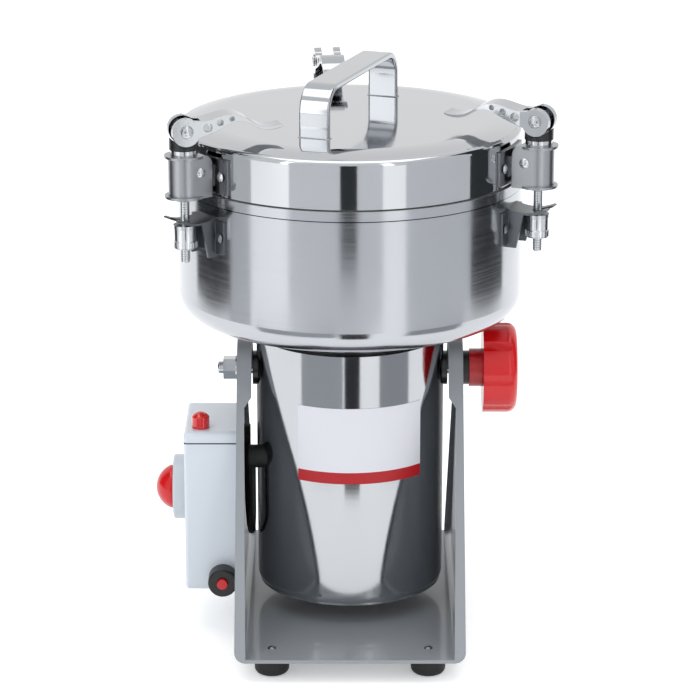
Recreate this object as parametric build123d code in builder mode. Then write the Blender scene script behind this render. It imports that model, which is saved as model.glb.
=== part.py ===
"""Electric spice grinder: a tilting high speed mill with a clamped lid.

X runs to the right, Y to the back and Z up. The origin is on the floor below the bowl's axis.
All lengths are in millimetres.
"""
import os
from math import acos, atan2, cos, hypot, pi, radians, sin, sqrt, tan

from build123d import *

os.makedirs("parts", exist_ok=True)

# Running fit of turning and sliding pairs, gap between moving groups, chamfer of bar ends
running_clearance = 0.05
body_gap = 0.3
end_chamfer = 1.0

# Base frame
sheet = 3.0
arm_gap = 12.5
frame_depth = 297.0
foot_height = 17.5
foot_diameter = 28.0
foot_inset_x = 29.5
foot_inset_y = 25.5
outer_bend = 9.0
inner_bend = outer_bend - sheet
trunnion_z = 219.0
arm_top_radius = 25.0
arm_foot_height = 9.0
arm_flange_width = 12.0
arm_flange_top_z = 205.0
arm_flange_low_z = 197.0
arm_flange_narrow = 6.0
arm_flange_base = 9.0
frame_screw_radius = 3.6
frame_screw_hole = 2.4

# Trunnions
stud_radius = 5.0
bush_wall = 3.0
bush_flange_radius = 12.0
bush_flange_thickness = 2.0
boss_radius = 14.0
boss_out = 3.0
boss_depth = 15.0
stud_depth = 13.0
stud_out = 16.5
trunnion_nut_flats = 17.0
trunnion_nut_height = 10.0
trunnion_washer_radius = 10.0
trunnion_washer_thickness = 1.5

# Lock knob
lock_washer_radius = 14.0
lock_washer_thickness = 4.9
knob_hub_radius = 15.75
knob_hub_length = 11.0
knob_radius = 37.0
knob_length = 28.0
knob_flutes = 8
knob_flute_depth = 1.0
lock_screw_depth = 7.0
lock_screw_in_knob = 24.0

# Control box
box_depth_x = 43.5
box_width_y = 86.0
box_low_z = 38.0
box_top_z = 176.0
box_wall = 2.0
box_corner = 7.0
box_cover_height = 9.0
dial_z = 115.0
dial_radius = 27.0
dial_height = 10.7
timer_knob_radius = 18.0
timer_knob_length = 14.5
timer_shaft_radius = 3.0
lamp_out = 30.0
lamp_inset_y = 16.0
lamp_radius = 7.25
lamp_height = 13.5
reset_out = 12.5
reset_z = 50.0
reset_collar_radius = 12.0
reset_collar_length = 14.0
reset_button_radius = 4.5
reset_button_out = 3.0
inlet_z = 70.0
inlet_radius = 9.0
inlet_bore_radius = 4.0

# Motor barrel
barrel_radius = 77.0
barrel_wall = 1.5
barrel_floor_gap = 16.1
barrel_rise = 32.5
barrel_corner = 8.0
barrel_edge = 15.0
neck_step = 5.0
neck_wall = 4.0
neck_rise = 18.5
label_low_z = 144.0
label_top_z = 208.0
label_left_x = 42.0
label_right_x = 57.0
label_thickness = 0.3

# Motor inside the barrel
shaft_radius = 6.0
bearing_outer = 16.0
bearing_height = 10.0
stator_outer = 66.0
stator_inner = 56.0
pole_radius = 36.5
core_low_z = 112.0
core_top_z = 178.0
armature_radius = 35.0
commutator_radius = 16.0
commutator_low_z = 85.0
commutator_top_z = 105.0
brush_z = 95.0
fan_radius = 50.0
fan_low_z = 190.0
fan_top_z = 206.0

# Bowl
bowl_radius = 140.0
bowl_height = 118.0
bowl_wall = 1.5
bowl_floor = 3.0
bowl_corner = 20.0
rim_band_height = 8.0
rim_band_step = 0.8
rim_flange_width = 7.7
seal_radius = 14.0

# Blades
blade_tip_gap = 20.5
blade_width = 26.0
blade_thickness = 3.0
lower_blade_rise = 15.0
blade_spacing = 12.0
shaft_rise = 46.0

# Lid
lid_inset = 1.5
lid_height = 42.1
lid_slope_width = 26.5
lid_edge_width = 4.5
lid_edge_drop = 3.5
lid_wall = 1.5
lid_rim_gap = 0.9
lid_web_rise = 8.2
lid_skirt_inset = 7.0
lid_skirt_drop = 4.0
handle_angle = 70.0
handle_inset = 31.5
handle_width = 25.0
handle_strap = 5.0
handle_rise = 40.5
handle_bend = 21.0
handle_edge_round = 1.5

# Clamps: rear, left and right, by their angle from the X axis and the turn of their lever
clamp_places = {"rear": (97.0, 0.0), "left": (217.0, -21.0), "right": (337.0, 0.0)}
rod_out = 21.5
rod_radius = 3.5
rod_tail = 11.5
pivot_inset = 7.5
pivot_rise = 20.6
pivot_radius = 2.5
pivot_head_radius = 4.0
housing_half = 12.5
clamp_sheet = 2.0
housing_lift = 0.1
housing_height = 34.0
housing_gap = 3.0
lip_reach = 15.5
ear_half = 10.2
saddle_half = 25.0
saddle_lift = 2.1
saddle_height = 28.0
ring_radius = 10.75
ring_height = 4.5
cup_radius = 11.5
cup_height = 8.5
pin_rise = 7.0
pin_radius = 4.0
pin_head_radius = 5.25
cup_saddle_radius = 12.3
eye_inner = 5.0
eye_outer = 11.0
eye_radius = 11.0
cam_throw = 0.8
lever_tip_half = 8.5
lever_length = 77.0
nut_radius = 8.5
nut_flare = 9.2
nut_height = 19.0
nut_hole_radius = 2.0
fork_arc_radius = 42.2
fork_tip_out = 11.5
fork_slot_half = 4.2
fork_drop = 48.0
fork_plate_drop = 15.0
fork_web_half = 12.5
fork_flange_half = 22.0
rivet_radius = 2.0
rivet_head_radius = 4.0

# Motor lead and its glands
lead_radius = 2.5
lead_inset = 3.0
lead_offset_y = 27.0
gland_z = 151.0
gland_radius = 9.5
arm_gland_height = 6.0
barrel_gland_height = 6.2
gland_stub_radius = 5.0

# Frame and barrel: values that follow from the ones above
plate_top_z = foot_height + sheet
arm_inner_x = barrel_radius + arm_gap
arm_outer_x = arm_inner_x + sheet
foot_spacing_x = 2 * (arm_outer_x - foot_inset_x)
foot_spacing_y = frame_depth - 2 * foot_inset_y
bush_outer = stud_radius + bush_wall
box_face_x = arm_outer_x + box_depth_x
lamp_x = arm_outer_x + lamp_out
lamp_y = lamp_inset_y - box_width_y / 2
reset_x = arm_outer_x + reset_out
knob_start_x = arm_outer_x + body_gap + lock_washer_thickness + body_gap
barrel_low_z = plate_top_z + barrel_floor_gap
barrel_top_z = trunnion_z + barrel_rise
barrel_mouth_radius = barrel_radius - barrel_edge
neck_radius = barrel_radius - neck_step
lead_arm_x = arm_inner_x - lead_inset
lead_barrel_x = barrel_radius + lead_inset

# Bowl and lid: values that follow
bowl_bottom_z = barrel_top_z + neck_rise
bowl_top_z = bowl_bottom_z + bowl_height
rim_flange_inner = bowl_radius - rim_flange_width
blade_reach = bowl_radius - bowl_wall - blade_tip_gap
lower_blade_z = bowl_bottom_z + lower_blade_rise
upper_blade_z = lower_blade_z + blade_spacing
lid_radius = bowl_radius - lid_inset
lid_low_z = bowl_top_z + lid_rim_gap
lid_top_z = lid_low_z + lid_height
lid_flat_radius = lid_radius - lid_slope_width
lid_edge_radius = lid_radius - lid_edge_width
lid_web_z = bowl_top_z + lid_web_rise
lid_skirt_outer = lid_radius - lid_skirt_inset
lid_skirt_low_z = bowl_top_z - lid_skirt_drop
handle_half_length = lid_flat_radius - handle_inset
handle_top_z = lid_top_z + handle_rise

# Clamps: values that follow
rod_reach = bowl_radius + rod_out
pivot_reach = rod_reach - pivot_inset
pivot_z = lid_low_z + pivot_rise
housing_low_z = lid_low_z + housing_lift
housing_top_z = housing_low_z + housing_height
housing_back_reach = lid_radius + clamp_sheet + housing_gap
saddle_low_z = lid_low_z + saddle_lift
saddle_top_z = saddle_low_z + saddle_height
ring_top_z = housing_top_z + ring_height
cup_top_z = ring_top_z + cup_height
pin_z = cup_top_z + pin_rise
nut_top_z = pivot_z - fork_arc_radius - body_gap
nut_low_z = nut_top_z - nut_height
rod_low_z = nut_low_z - rod_tail
fork_low_z = bowl_top_z - fork_drop
fork_top_limit_z = bowl_top_z - fork_plate_drop
fork_tip_reach = rod_reach + fork_tip_out


def save(part, name):
    """Labels a finished piece and writes it to its own file."""
    part.label = name
    export_step(part, f"parts/{name}.step")


def tube(outer, inner, low, high):
    """An upright disc or ring about the vertical axis, for use inside a piece."""
    with BuildSketch(Plane.XY.offset(low)) as ring:
        Circle(outer)
        if inner > 0:
            Circle(inner, mode=Mode.SUBTRACT)
    extrude(ring.sketch, amount=high - low)


def cross_bar(outer, inner, start_x, end_x, z, y=0.0, mode=Mode.ADD):
    """A disc or ring about a line along X, for use inside a piece."""
    with BuildSketch(Plane(origin=(start_x, y, z), x_dir=(0, 1, 0), z_dir=(1, 0, 0))) as ring:
        Circle(outer)
        if inner > 0:
            Circle(inner, mode=Mode.SUBTRACT)
    extrude(ring.sketch, amount=end_x - start_x, mode=mode)


def dome(radius, height):
    """Radius of the ball that gives a screw or rivet head this width and height."""
    return (radius * radius + height * height) / (2 * height)


def round_head(radius, height, plane):
    """A domed head standing on a plane, for use inside a piece."""
    ball = dome(radius, height)
    with BuildSketch(Plane.XZ) as half:
        with BuildLine():
            Line((0, 0), (radius, 0))
            RadiusArc((radius, 0), (0, height), -ball)
            Line((0, height), (0, 0))
        make_face()
    head = revolve(half.sketch, axis=Axis.Z, mode=Mode.PRIVATE)
    add(plane.location * head)


# Base frame: one bent sheet with two upright arms whose edges turn inwards
arm_half_depth = frame_depth / 2
arm_corner_z = foot_height + arm_foot_height
arm_side_angle = atan2(arm_corner_z - trunnion_z, arm_half_depth) + acos(
    arm_top_radius / hypot(arm_half_depth, trunnion_z - arm_corner_z)
)


def arm_outline(inset):
    """Side outline of an arm, drawn in from its edge by the inset."""
    radius = arm_top_radius - inset
    half = arm_half_depth - inset
    low = foot_height + inset
    corner = trunnion_z + (radius - half * cos(arm_side_angle)) / sin(arm_side_angle)
    touch_y = radius * cos(arm_side_angle)
    touch_z = trunnion_z + radius * sin(arm_side_angle)
    with BuildSketch(Plane.YZ) as outline:
        with BuildLine():
            Polyline((-touch_y, touch_z), (-half, corner), (-half, low), (half, low),
                     (half, corner), (touch_y, touch_z))
            ThreePointArc((touch_y, touch_z), (0, trunnion_z + radius), (-touch_y, touch_z))
        make_face()
    return outline.sketch


with BuildPart() as arm_pocket:
    extrude(arm_outline(sheet), amount=arm_inner_x, both=True)
    fillet(arm_pocket.edges().filter_by(Axis.Y).group_by(Axis.Z)[0], inner_bend)

with BuildPart() as base_frame:
    extrude(arm_outline(0), amount=arm_outer_x, both=True)
    fillet(base_frame.edges().filter_by(Axis.Y).group_by(Axis.Z)[0], outer_bend)
    add(arm_pocket.part, mode=Mode.SUBTRACT)
    throat = [
        (arm_outer_x - arm_flange_base, plate_top_z),
        (arm_outer_x - arm_flange_narrow, arm_flange_low_z),
        (arm_outer_x - arm_flange_width, arm_flange_top_z),
        (arm_outer_x - arm_flange_width, trunnion_z + arm_top_radius + sheet),
    ]
    with BuildSketch(Plane.XZ):
        Polygon(*throat, *[(-x, z) for x, z in reversed(throat)], align=None)
    extrude(amount=frame_depth, both=True, mode=Mode.SUBTRACT)
    for side in (-1, 1):
        cross_bar(bush_outer + running_clearance, 0, side * arm_inner_x - sheet,
                  side * arm_inner_x + sheet, trunnion_z, mode=Mode.SUBTRACT)
    cross_bar(gland_stub_radius + running_clearance, 0, -arm_outer_x - sheet, -arm_inner_x + sheet,
              gland_z, lead_offset_y, mode=Mode.SUBTRACT)
    with BuildSketch(Plane.XY.offset(foot_height - sheet)):
        with GridLocations(foot_spacing_x, foot_spacing_y, 2, 2):
            Circle(frame_screw_hole)
    extrude(amount=3 * sheet, mode=Mode.SUBTRACT)
save(base_frame.part, "base_frame")

# Rubber feet, recessed for the screws that hold them
foot_round = 5.0
foot_screw_end_z = 6.0
foot_recess_radius = 5.0
frame_screw_head = 2.0
frame_screw_shank = 2.2
with BuildPart() as feet:
    with BuildSketch(Plane.XY):
        with GridLocations(foot_spacing_x, foot_spacing_y, 2, 2):
            Circle(foot_diameter / 2)
    extrude(amount=foot_height)
    fillet(feet.edges().group_by(Axis.Z)[0], foot_round)
    with BuildSketch(Plane.XY):
        with GridLocations(foot_spacing_x, foot_spacing_y, 2, 2):
            Circle(foot_recess_radius)
    extrude(amount=foot_screw_end_z, mode=Mode.SUBTRACT)
    with BuildSketch(Plane.XY.offset(foot_screw_end_z)):
        with GridLocations(foot_spacing_x, foot_spacing_y, 2, 2):
            Circle(frame_screw_hole)
    extrude(amount=foot_height, mode=Mode.SUBTRACT)
save(feet.part, "feet")

with BuildPart() as frame_screws:
    with BuildSketch(Plane.XY.offset(foot_screw_end_z)):
        with GridLocations(foot_spacing_x, foot_spacing_y, 2, 2):
            Circle(frame_screw_shank)
    extrude(amount=plate_top_z - foot_screw_end_z)
    for place in GridLocations(foot_spacing_x, foot_spacing_y, 2, 2):
        round_head(frame_screw_radius, frame_screw_head, Plane(place.position + (0, 0, plate_top_z)))
save(frame_screws.part, "frame_screws")

# Control box against the outside of the left arm, with a cap-shaped cover on top
box_edge_round = 3.0
box_hole_clearance = 0.1
timer_body_half = 19.0
timer_throat_radius = 17.0
timer_back_gap = 19.5
timer_body_x = arm_outer_x + timer_back_gap
lamp_stem_radius = 5.0
lamp_stem_length = 14.0
reset_body_half = 8.0
reset_body_depth = 26.0
reset_throat_radius = 7.0
reset_travel = 2.5
box_middle_x = (arm_outer_x + box_face_x) / 2
box_middle_z = (box_low_z + box_top_z) / 2
box_seam_z = box_top_z - box_cover_height


def box_solid(inset):
    """The filled shape of the control box, drawn in by the inset."""
    with BuildPart() as block:
        with BuildSketch(Plane(origin=(-arm_outer_x - inset, 0, box_middle_z), x_dir=(0, -1, 0),
                               z_dir=(-1, 0, 0))):
            RectangleRounded(box_width_y - 2 * inset, box_top_z - box_low_z - 2 * inset,
                             box_corner - inset)
        extrude(amount=box_depth_x - 2 * inset)
        fillet(block.faces().sort_by(Axis.X)[0].edges(), box_edge_round - inset)
    return block.part


box_outside = box_solid(0)
box_inside = box_solid(box_wall)

with BuildPart() as control_box:
    add(box_outside)
    add(box_inside, mode=Mode.SUBTRACT)
    split(bisect_by=Plane.XY.offset(box_seam_z), keep=Keep.BOTTOM)
    cross_bar(timer_throat_radius, 0, -box_face_x - sheet, -box_face_x + 2 * sheet, dial_z,
              mode=Mode.SUBTRACT)
    cross_bar(gland_stub_radius + running_clearance, 0, -arm_outer_x - sheet, -arm_outer_x, gland_z,
              lead_offset_y, mode=Mode.SUBTRACT)
    with BuildSketch(Plane(origin=(-reset_x, -box_width_y / 2, reset_z), x_dir=(1, 0, 0),
                           z_dir=(0, -1, 0))):
        Circle(reset_throat_radius + box_hole_clearance)
    extrude(amount=2 * box_wall, both=True, mode=Mode.SUBTRACT)
    with BuildSketch(Plane(origin=(-box_middle_x, box_width_y / 2, inlet_z), x_dir=(1, 0, 0),
                           z_dir=(0, -1, 0))):
        Circle(gland_stub_radius + running_clearance)
    extrude(amount=2 * box_wall, both=True, mode=Mode.SUBTRACT)
save(control_box.part, "control_box")

with BuildPart() as control_box_cover:
    add(box_outside)
    add(box_inside, mode=Mode.SUBTRACT)
    split(bisect_by=Plane.XY.offset(box_seam_z), keep=Keep.TOP)
    with BuildSketch(Plane.XY.offset(box_seam_z)):
        with Locations((-lamp_x, lamp_y)):
            Circle(lamp_stem_radius + box_hole_clearance)
    extrude(amount=2 * box_cover_height, mode=Mode.SUBTRACT)
save(control_box_cover.part, "control_box_cover")

# Timer: a raised dial disc with a pointer mark, the clockwork unit behind it and the knob
dial_bore = 4.0
dial_round = 1.5
pointer_length = 5.0
pointer_width = 2.0
pointer_height = 0.8
with BuildPart() as timer_dial:
    cross_bar(dial_radius, 0, -box_face_x - dial_height, -box_face_x, dial_z)
    fillet(timer_dial.edges().group_by(Axis.X)[0], dial_round)
    cross_bar(dial_bore, 0, -box_face_x - dial_height, -box_face_x, dial_z, mode=Mode.SUBTRACT)
    with BuildSketch(Plane(origin=(-box_face_x - dial_height, 0, dial_z), x_dir=(0, -1, 0),
                           z_dir=(-1, 0, 0))):
        with Locations((0, dial_radius - pointer_length)):
            Rectangle(pointer_width, pointer_length)
    extrude(amount=-pointer_height, mode=Mode.SUBTRACT)
save(timer_dial.part, "timer_dial")

with BuildPart() as timer_unit:
    with BuildSketch(Plane(origin=(-timer_body_x, 0, dial_z), x_dir=(0, -1, 0), z_dir=(-1, 0, 0))):
        Rectangle(2 * timer_body_half, 2 * timer_body_half)
    extrude(amount=box_face_x - box_wall - timer_body_x)
    cross_bar(timer_shaft_radius + running_clearance, 0, -box_face_x, -timer_body_x, dial_z,
              mode=Mode.SUBTRACT)
save(timer_unit.part, "timer_unit")

timer_start_x = box_face_x + dial_height + body_gap
timer_rim = 2.5
timer_shaft_depth = 8.0
timer_shaft_end_x = timer_body_x + timer_shaft_depth
with BuildPart() as timer_knob:
    cross_bar(timer_knob_radius, 0, -timer_start_x - timer_rim, -timer_start_x, dial_z)
    round_head(timer_knob_radius, timer_knob_length - timer_rim,
               Plane(origin=(-timer_start_x - timer_rim, 0, dial_z), x_dir=(0, 1, 0),
                     z_dir=(-1, 0, 0)))
    cross_bar(timer_shaft_radius, 0, -timer_start_x, -timer_shaft_end_x, dial_z)
save(timer_knob.part, "timer_knob")

# Indicator lamp on the cover
lamp_dome = 4.0
with BuildPart() as indicator_lamp:
    with BuildSketch(Plane.XY.offset(box_top_z)):
        with Locations((-lamp_x, lamp_y)):
            Circle(lamp_radius)
    extrude(amount=lamp_height - lamp_dome)
    round_head(lamp_radius, lamp_dome, Plane((-lamp_x, lamp_y, box_top_z + lamp_height - lamp_dome)))
    with BuildSketch(Plane.XY.offset(box_top_z)):
        with Locations((-lamp_x, lamp_y)):
            Circle(lamp_stem_radius)
    extrude(amount=-lamp_stem_length)
save(indicator_lamp.part, "indicator_lamp")

# Overload reset: breaker body in the box, collar on its front face and a sprung button
front_plane = Plane(origin=(-reset_x, -box_width_y / 2, reset_z), x_dir=(1, 0, 0), z_dir=(0, -1, 0))
reset_round = 1.5
button_start = reset_collar_length + reset_button_out
button_length = 12.0
with BuildPart() as reset_breaker:
    with BuildSketch(front_plane):
        Circle(reset_collar_radius)
    extrude(amount=reset_collar_length)
    fillet(reset_breaker.edges().group_by(Axis.Y)[0], reset_round)
    with BuildSketch(front_plane):
        Circle(reset_throat_radius)
    extrude(amount=-2 * box_wall)
    with BuildSketch(front_plane.offset(-2 * box_wall)):
        Rectangle(2 * reset_body_half, 2 * reset_body_half)
    extrude(amount=-reset_body_depth)
    with BuildSketch(front_plane.offset(reset_collar_length)):
        Circle(reset_button_radius + running_clearance)
    extrude(amount=reset_button_out - button_length - reset_travel - body_gap, mode=Mode.SUBTRACT)
save(reset_breaker.part, "reset_breaker")

with BuildPart() as reset_button:
    with BuildSketch(front_plane.offset(button_start)):
        Circle(reset_button_radius)
    extrude(amount=-button_length)
    fillet(reset_button.edges().group_by(Axis.Y)[0], end_chamfer)
save(reset_button.part, "reset_button")

# Glands: the motor lead leaves the left arm, and the power inlet is at the back of the box
inlet_out = 8.0
with BuildPart() as cable_glands:
    cross_bar(gland_radius, 0, -arm_inner_x, arm_gland_height - arm_inner_x, gland_z,
              lead_offset_y)
    cross_bar(gland_stub_radius, 0, -arm_outer_x - box_wall, -arm_inner_x, gland_z, lead_offset_y)
    with BuildSketch(Plane.XY.offset(gland_z)):
        with Locations((-lead_arm_x, lead_offset_y)):
            Circle(lead_radius + running_clearance)
    extrude(amount=-2 * gland_radius, mode=Mode.SUBTRACT)
    with BuildSketch(Plane(origin=(-box_middle_x, box_width_y / 2, inlet_z), x_dir=(1, 0, 0),
                           z_dir=(0, 1, 0))):
        Circle(inlet_radius)
        Circle(inlet_bore_radius, mode=Mode.SUBTRACT)
    extrude(amount=inlet_out)
    with BuildSketch(Plane(origin=(-box_middle_x, box_width_y / 2, inlet_z), x_dir=(1, 0, 0),
                           z_dir=(0, 1, 0))):
        Circle(gland_stub_radius)
        Circle(inlet_bore_radius, mode=Mode.SUBTRACT)
    extrude(amount=-2 * box_wall)
save(cable_glands.part, "cable_glands")

# Flanged bushes that carry the trunnions in the arms
with BuildPart() as arm_bushes:
    for side in (-1, 1):
        low_x, high_x = sorted((side * arm_inner_x, side * arm_outer_x))
        cross_bar(bush_outer, stud_radius + running_clearance, low_x, high_x, trunnion_z)
        low_x, high_x = sorted((side * (arm_inner_x - bush_flange_thickness), side * arm_inner_x))
        cross_bar(bush_flange_radius, stud_radius + running_clearance, low_x, high_x, trunnion_z)
save(arm_bushes.part, "arm_bushes")


# Trunnions of the barrel: a boss on each side, a stud with its nut on the left
boss_collar_radius = 17.0
boss_collar_inset = 5.0
boss_inner_x = barrel_radius - boss_depth
with BuildPart() as trunnion_bosses:
    for side in (-1, 1):
        cross_bar(boss_radius, stud_radius + running_clearance, side * boss_inner_x,
                  side * (barrel_radius + boss_out), trunnion_z)
        cross_bar(boss_collar_radius, stud_radius + running_clearance, side * boss_inner_x,
                  side * (barrel_radius - boss_collar_inset), trunnion_z)
save(trunnion_bosses.part, "trunnion_bosses")

with BuildPart() as trunnion_stud:
    cross_bar(stud_radius, 0, stud_depth - barrel_radius, -arm_outer_x - stud_out, trunnion_z)
    chamfer(trunnion_stud.edges().group_by(Axis.X)[0], end_chamfer)
save(trunnion_stud.part, "trunnion_stud")

washer_start_x = arm_outer_x + body_gap
nut_start_x = washer_start_x + trunnion_washer_thickness
with BuildPart() as trunnion_fasteners:
    cross_bar(trunnion_washer_radius, stud_radius + running_clearance, -washer_start_x,
              -nut_start_x, trunnion_z)
    with BuildSketch(Plane(origin=(-nut_start_x, 0, trunnion_z), x_dir=(0, -1, 0), z_dir=(-1, 0, 0))):
        RegularPolygon(trunnion_nut_flats / 2, 6, major_radius=False)
        Circle(stud_radius + running_clearance, mode=Mode.SUBTRACT)
    extrude(amount=trunnion_nut_height)
save(trunnion_fasteners.part, "trunnion_fasteners")

# Lock on the right: a loose washer, the knob and the screw moulded into it
lock_screw_end_x = knob_start_x + lock_screw_in_knob
knob_outer_round = 8.0
flute_cutter = 14.0
knob_disc_x = knob_start_x + knob_hub_length
with BuildPart() as lock_washer:
    cross_bar(lock_washer_radius, stud_radius + running_clearance, washer_start_x,
              washer_start_x + lock_washer_thickness, trunnion_z)
save(lock_washer.part, "lock_washer")

with BuildPart() as lock_knob:
    cross_bar(knob_radius, 0, knob_disc_x, knob_disc_x + knob_length, trunnion_z)
    fillet(lock_knob.edges().group_by(Axis.X)[-1], knob_outer_round)
    with BuildSketch(Plane(origin=(knob_disc_x, 0, trunnion_z), x_dir=(0, 1, 0), z_dir=(1, 0, 0))):
        with PolarLocations(knob_radius + flute_cutter - knob_flute_depth, knob_flutes):
            Circle(flute_cutter)
    extrude(amount=knob_length, mode=Mode.SUBTRACT)
    cross_bar(knob_hub_radius, 0, knob_start_x, knob_disc_x, trunnion_z)
    cross_bar(stud_radius, 0, knob_start_x, lock_screw_end_x, trunnion_z, mode=Mode.SUBTRACT)
save(lock_knob.part, "lock_knob")

with BuildPart() as lock_screw:
    cross_bar(stud_radius, 0, barrel_radius - lock_screw_depth, lock_screw_end_x, trunnion_z)
    chamfer(lock_screw.edges().group_by(Axis.X)[0], end_chamfer)
save(lock_screw.part, "lock_screw")

# Motor barrel, a drawn tube with an inturned bottom edge
with BuildPart() as motor_housing:
    with BuildSketch(Plane.XZ) as barrel_section:
        Polygon(
            (barrel_mouth_radius, barrel_low_z),
            (barrel_radius, barrel_low_z),
            (barrel_radius, barrel_top_z),
            (barrel_radius - barrel_wall, barrel_top_z),
            (barrel_radius - barrel_wall, barrel_low_z + barrel_wall),
            (barrel_mouth_radius, barrel_low_z + barrel_wall),
            align=None,
        )
        corners = barrel_section.vertices().group_by(Axis.X)
        fillet(corners[-1].sort_by(Axis.Y)[0], barrel_corner)
        fillet(corners[-2].sort_by(Axis.Y)[0], barrel_corner - barrel_wall)
    revolve(axis=Axis.Z)
    cross_bar(boss_radius + running_clearance, 0, -2 * barrel_radius, 2 * barrel_radius, trunnion_z,
              mode=Mode.SUBTRACT)
    cross_bar(gland_stub_radius + running_clearance, 0, -2 * barrel_radius, 0, gland_z,
              -lead_offset_y, mode=Mode.SUBTRACT)
save(motor_housing.part, "motor_housing")

# Bottom cover with vent holes, and the screws of cover and bowl
cover_inset = 9.0
cover_thickness = 2.0
cover_low_z = barrel_low_z + barrel_wall
vent_radius = 3.0
outer_vents = 16
inner_vents = 12
screw_inset = 23.0
vent_circle_step = 12.0
bowl_screw_inset = 32.0
screw_circle = barrel_radius - screw_inset
outer_vent_circle = screw_circle - vent_circle_step
inner_vent_circle = outer_vent_circle - vent_circle_step
bowl_screw_circle = neck_radius - bowl_screw_inset
screw_shank = 2.5
screw_head = 4.5
screw_head_height = 2.5
screw_length = 18.0
with BuildPart() as bottom_cover:
    tube(barrel_radius - cover_inset, 0, cover_low_z, cover_low_z + cover_thickness)
    with BuildSketch(Plane.XY.offset(cover_low_z)):
        with PolarLocations(outer_vent_circle, outer_vents):
            Circle(vent_radius)
        with PolarLocations(inner_vent_circle, inner_vents):
            Circle(vent_radius)
        with PolarLocations(screw_circle, 4, start_angle=45):
            Circle(screw_shank + box_hole_clearance)
    extrude(amount=cover_thickness, mode=Mode.SUBTRACT)
save(bottom_cover.part, "bottom_cover")

bowl_floor_z = bowl_bottom_z + bowl_floor
with BuildPart() as motor_screws:
    with BuildSketch(Plane.XY.offset(cover_low_z)):
        with PolarLocations(screw_circle, 4, start_angle=45):
            Circle(screw_shank)
    extrude(amount=screw_length)
    for place in PolarLocations(screw_circle, 4, start_angle=45):
        round_head(screw_head, screw_head_height,
                   Plane(place.position + (0, 0, cover_low_z), z_dir=(0, 0, -1)))
    with BuildSketch(Plane.XY.offset(bowl_floor_z)):
        with PolarLocations(bowl_screw_circle, 4, start_angle=45):
            Circle(screw_shank)
    extrude(amount=bowl_floor - screw_length)
    for place in PolarLocations(bowl_screw_circle, 4, start_angle=45):
        round_head(screw_head, screw_head_height, Plane(place.position + (0, 0, bowl_floor_z)))
save(motor_screws.part, "motor_screws")

# Blank label wrapped round the front of the barrel
with BuildPart() as rating_label:
    label_inner = barrel_radius + running_clearance
    tube(label_inner + label_thickness, label_inner, label_low_z, label_top_z)
    with BuildSketch(Plane.XY.offset(label_low_z)):
        with Locations(((label_right_x - label_left_x) / 2, -barrel_radius)):
            Rectangle(label_left_x + label_right_x, 2 * barrel_radius)
    extrude(amount=label_top_z - label_low_z, mode=Mode.INTERSECT)
save(rating_label.part, "rating_label")

# End shields: the upper one rises out of the barrel as the neck below the bowl
shield_radius = barrel_radius - barrel_wall - running_clearance
shield_rim_height = 6.0
shield_plate = 4.0
bearing_wall = 5.0
shaft_hole = 8.0
upper_plate_z = barrel_top_z - shield_rim_height
upper_hub_depth = 15.0
upper_bearing_z = upper_plate_z - upper_hub_depth
neck_plate = 6.0
with BuildPart() as upper_end_shield:
    with BuildSketch(Plane.XZ):
        Polygon(
            (bearing_outer, upper_bearing_z),
            (bearing_outer + bearing_wall, upper_bearing_z),
            (bearing_outer + bearing_wall, upper_plate_z),
            (shield_radius, upper_plate_z),
            (shield_radius, barrel_top_z),
            (neck_radius, barrel_top_z),
            (neck_radius, bowl_bottom_z),
            (seal_radius + sheet, bowl_bottom_z),
            (seal_radius + sheet, bowl_bottom_z - neck_plate),
            (neck_radius - neck_wall, bowl_bottom_z - neck_plate),
            (neck_radius - neck_wall, upper_plate_z + shield_plate),
            (shaft_hole, upper_plate_z + shield_plate),
            (shaft_hole, upper_bearing_z + bearing_height),
            (bearing_outer, upper_bearing_z + bearing_height),
            align=None,
        )
    revolve(axis=Axis.Z)
    with BuildSketch(Plane.XY.offset(bowl_bottom_z)):
        with PolarLocations(bowl_screw_circle, 4, start_angle=45):
            Circle(screw_shank + running_clearance)
    extrude(amount=-neck_plate, mode=Mode.SUBTRACT)
save(upper_end_shield.part, "upper_end_shield")

lower_plate_rise = 25.4
lower_plate_z = barrel_low_z + lower_plate_rise
lower_plate = 6.0
lower_bearing_z = lower_plate_z - bearing_height
post_radius = 5.0
with BuildPart() as lower_end_shield:
    with BuildSketch(Plane.XZ):
        Polygon(
            (bearing_outer, lower_bearing_z),
            (bearing_outer + bearing_wall, lower_bearing_z),
            (bearing_outer + bearing_wall, lower_plate_z),
            (shield_radius, lower_plate_z),
            (shield_radius, lower_plate_z + lower_plate),
            (shaft_hole, lower_plate_z + lower_plate),
            (shaft_hole, lower_plate_z),
            (bearing_outer, lower_plate_z),
            align=None,
        )
    revolve(axis=Axis.Z)
    with BuildSketch(Plane.XY.offset(cover_low_z + cover_thickness)):
        with PolarLocations(screw_circle, 4, start_angle=45):
            Circle(post_radius)
    extrude(amount=lower_plate_z - cover_low_z - cover_thickness)
    with BuildSketch(Plane.XY.offset(cover_low_z)):
        with PolarLocations(screw_circle, 4, start_angle=45):
            Circle(screw_shank + running_clearance)
    extrude(amount=screw_length + running_clearance, mode=Mode.SUBTRACT)
save(lower_end_shield.part, "lower_end_shield")

with BuildPart() as bearings:
    tube(bearing_outer, shaft_radius + running_clearance, lower_bearing_z,
         lower_bearing_z + bearing_height)
    tube(bearing_outer, shaft_radius + running_clearance, upper_bearing_z,
         upper_bearing_z + bearing_height)
save(bearings.part, "bearings")

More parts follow.
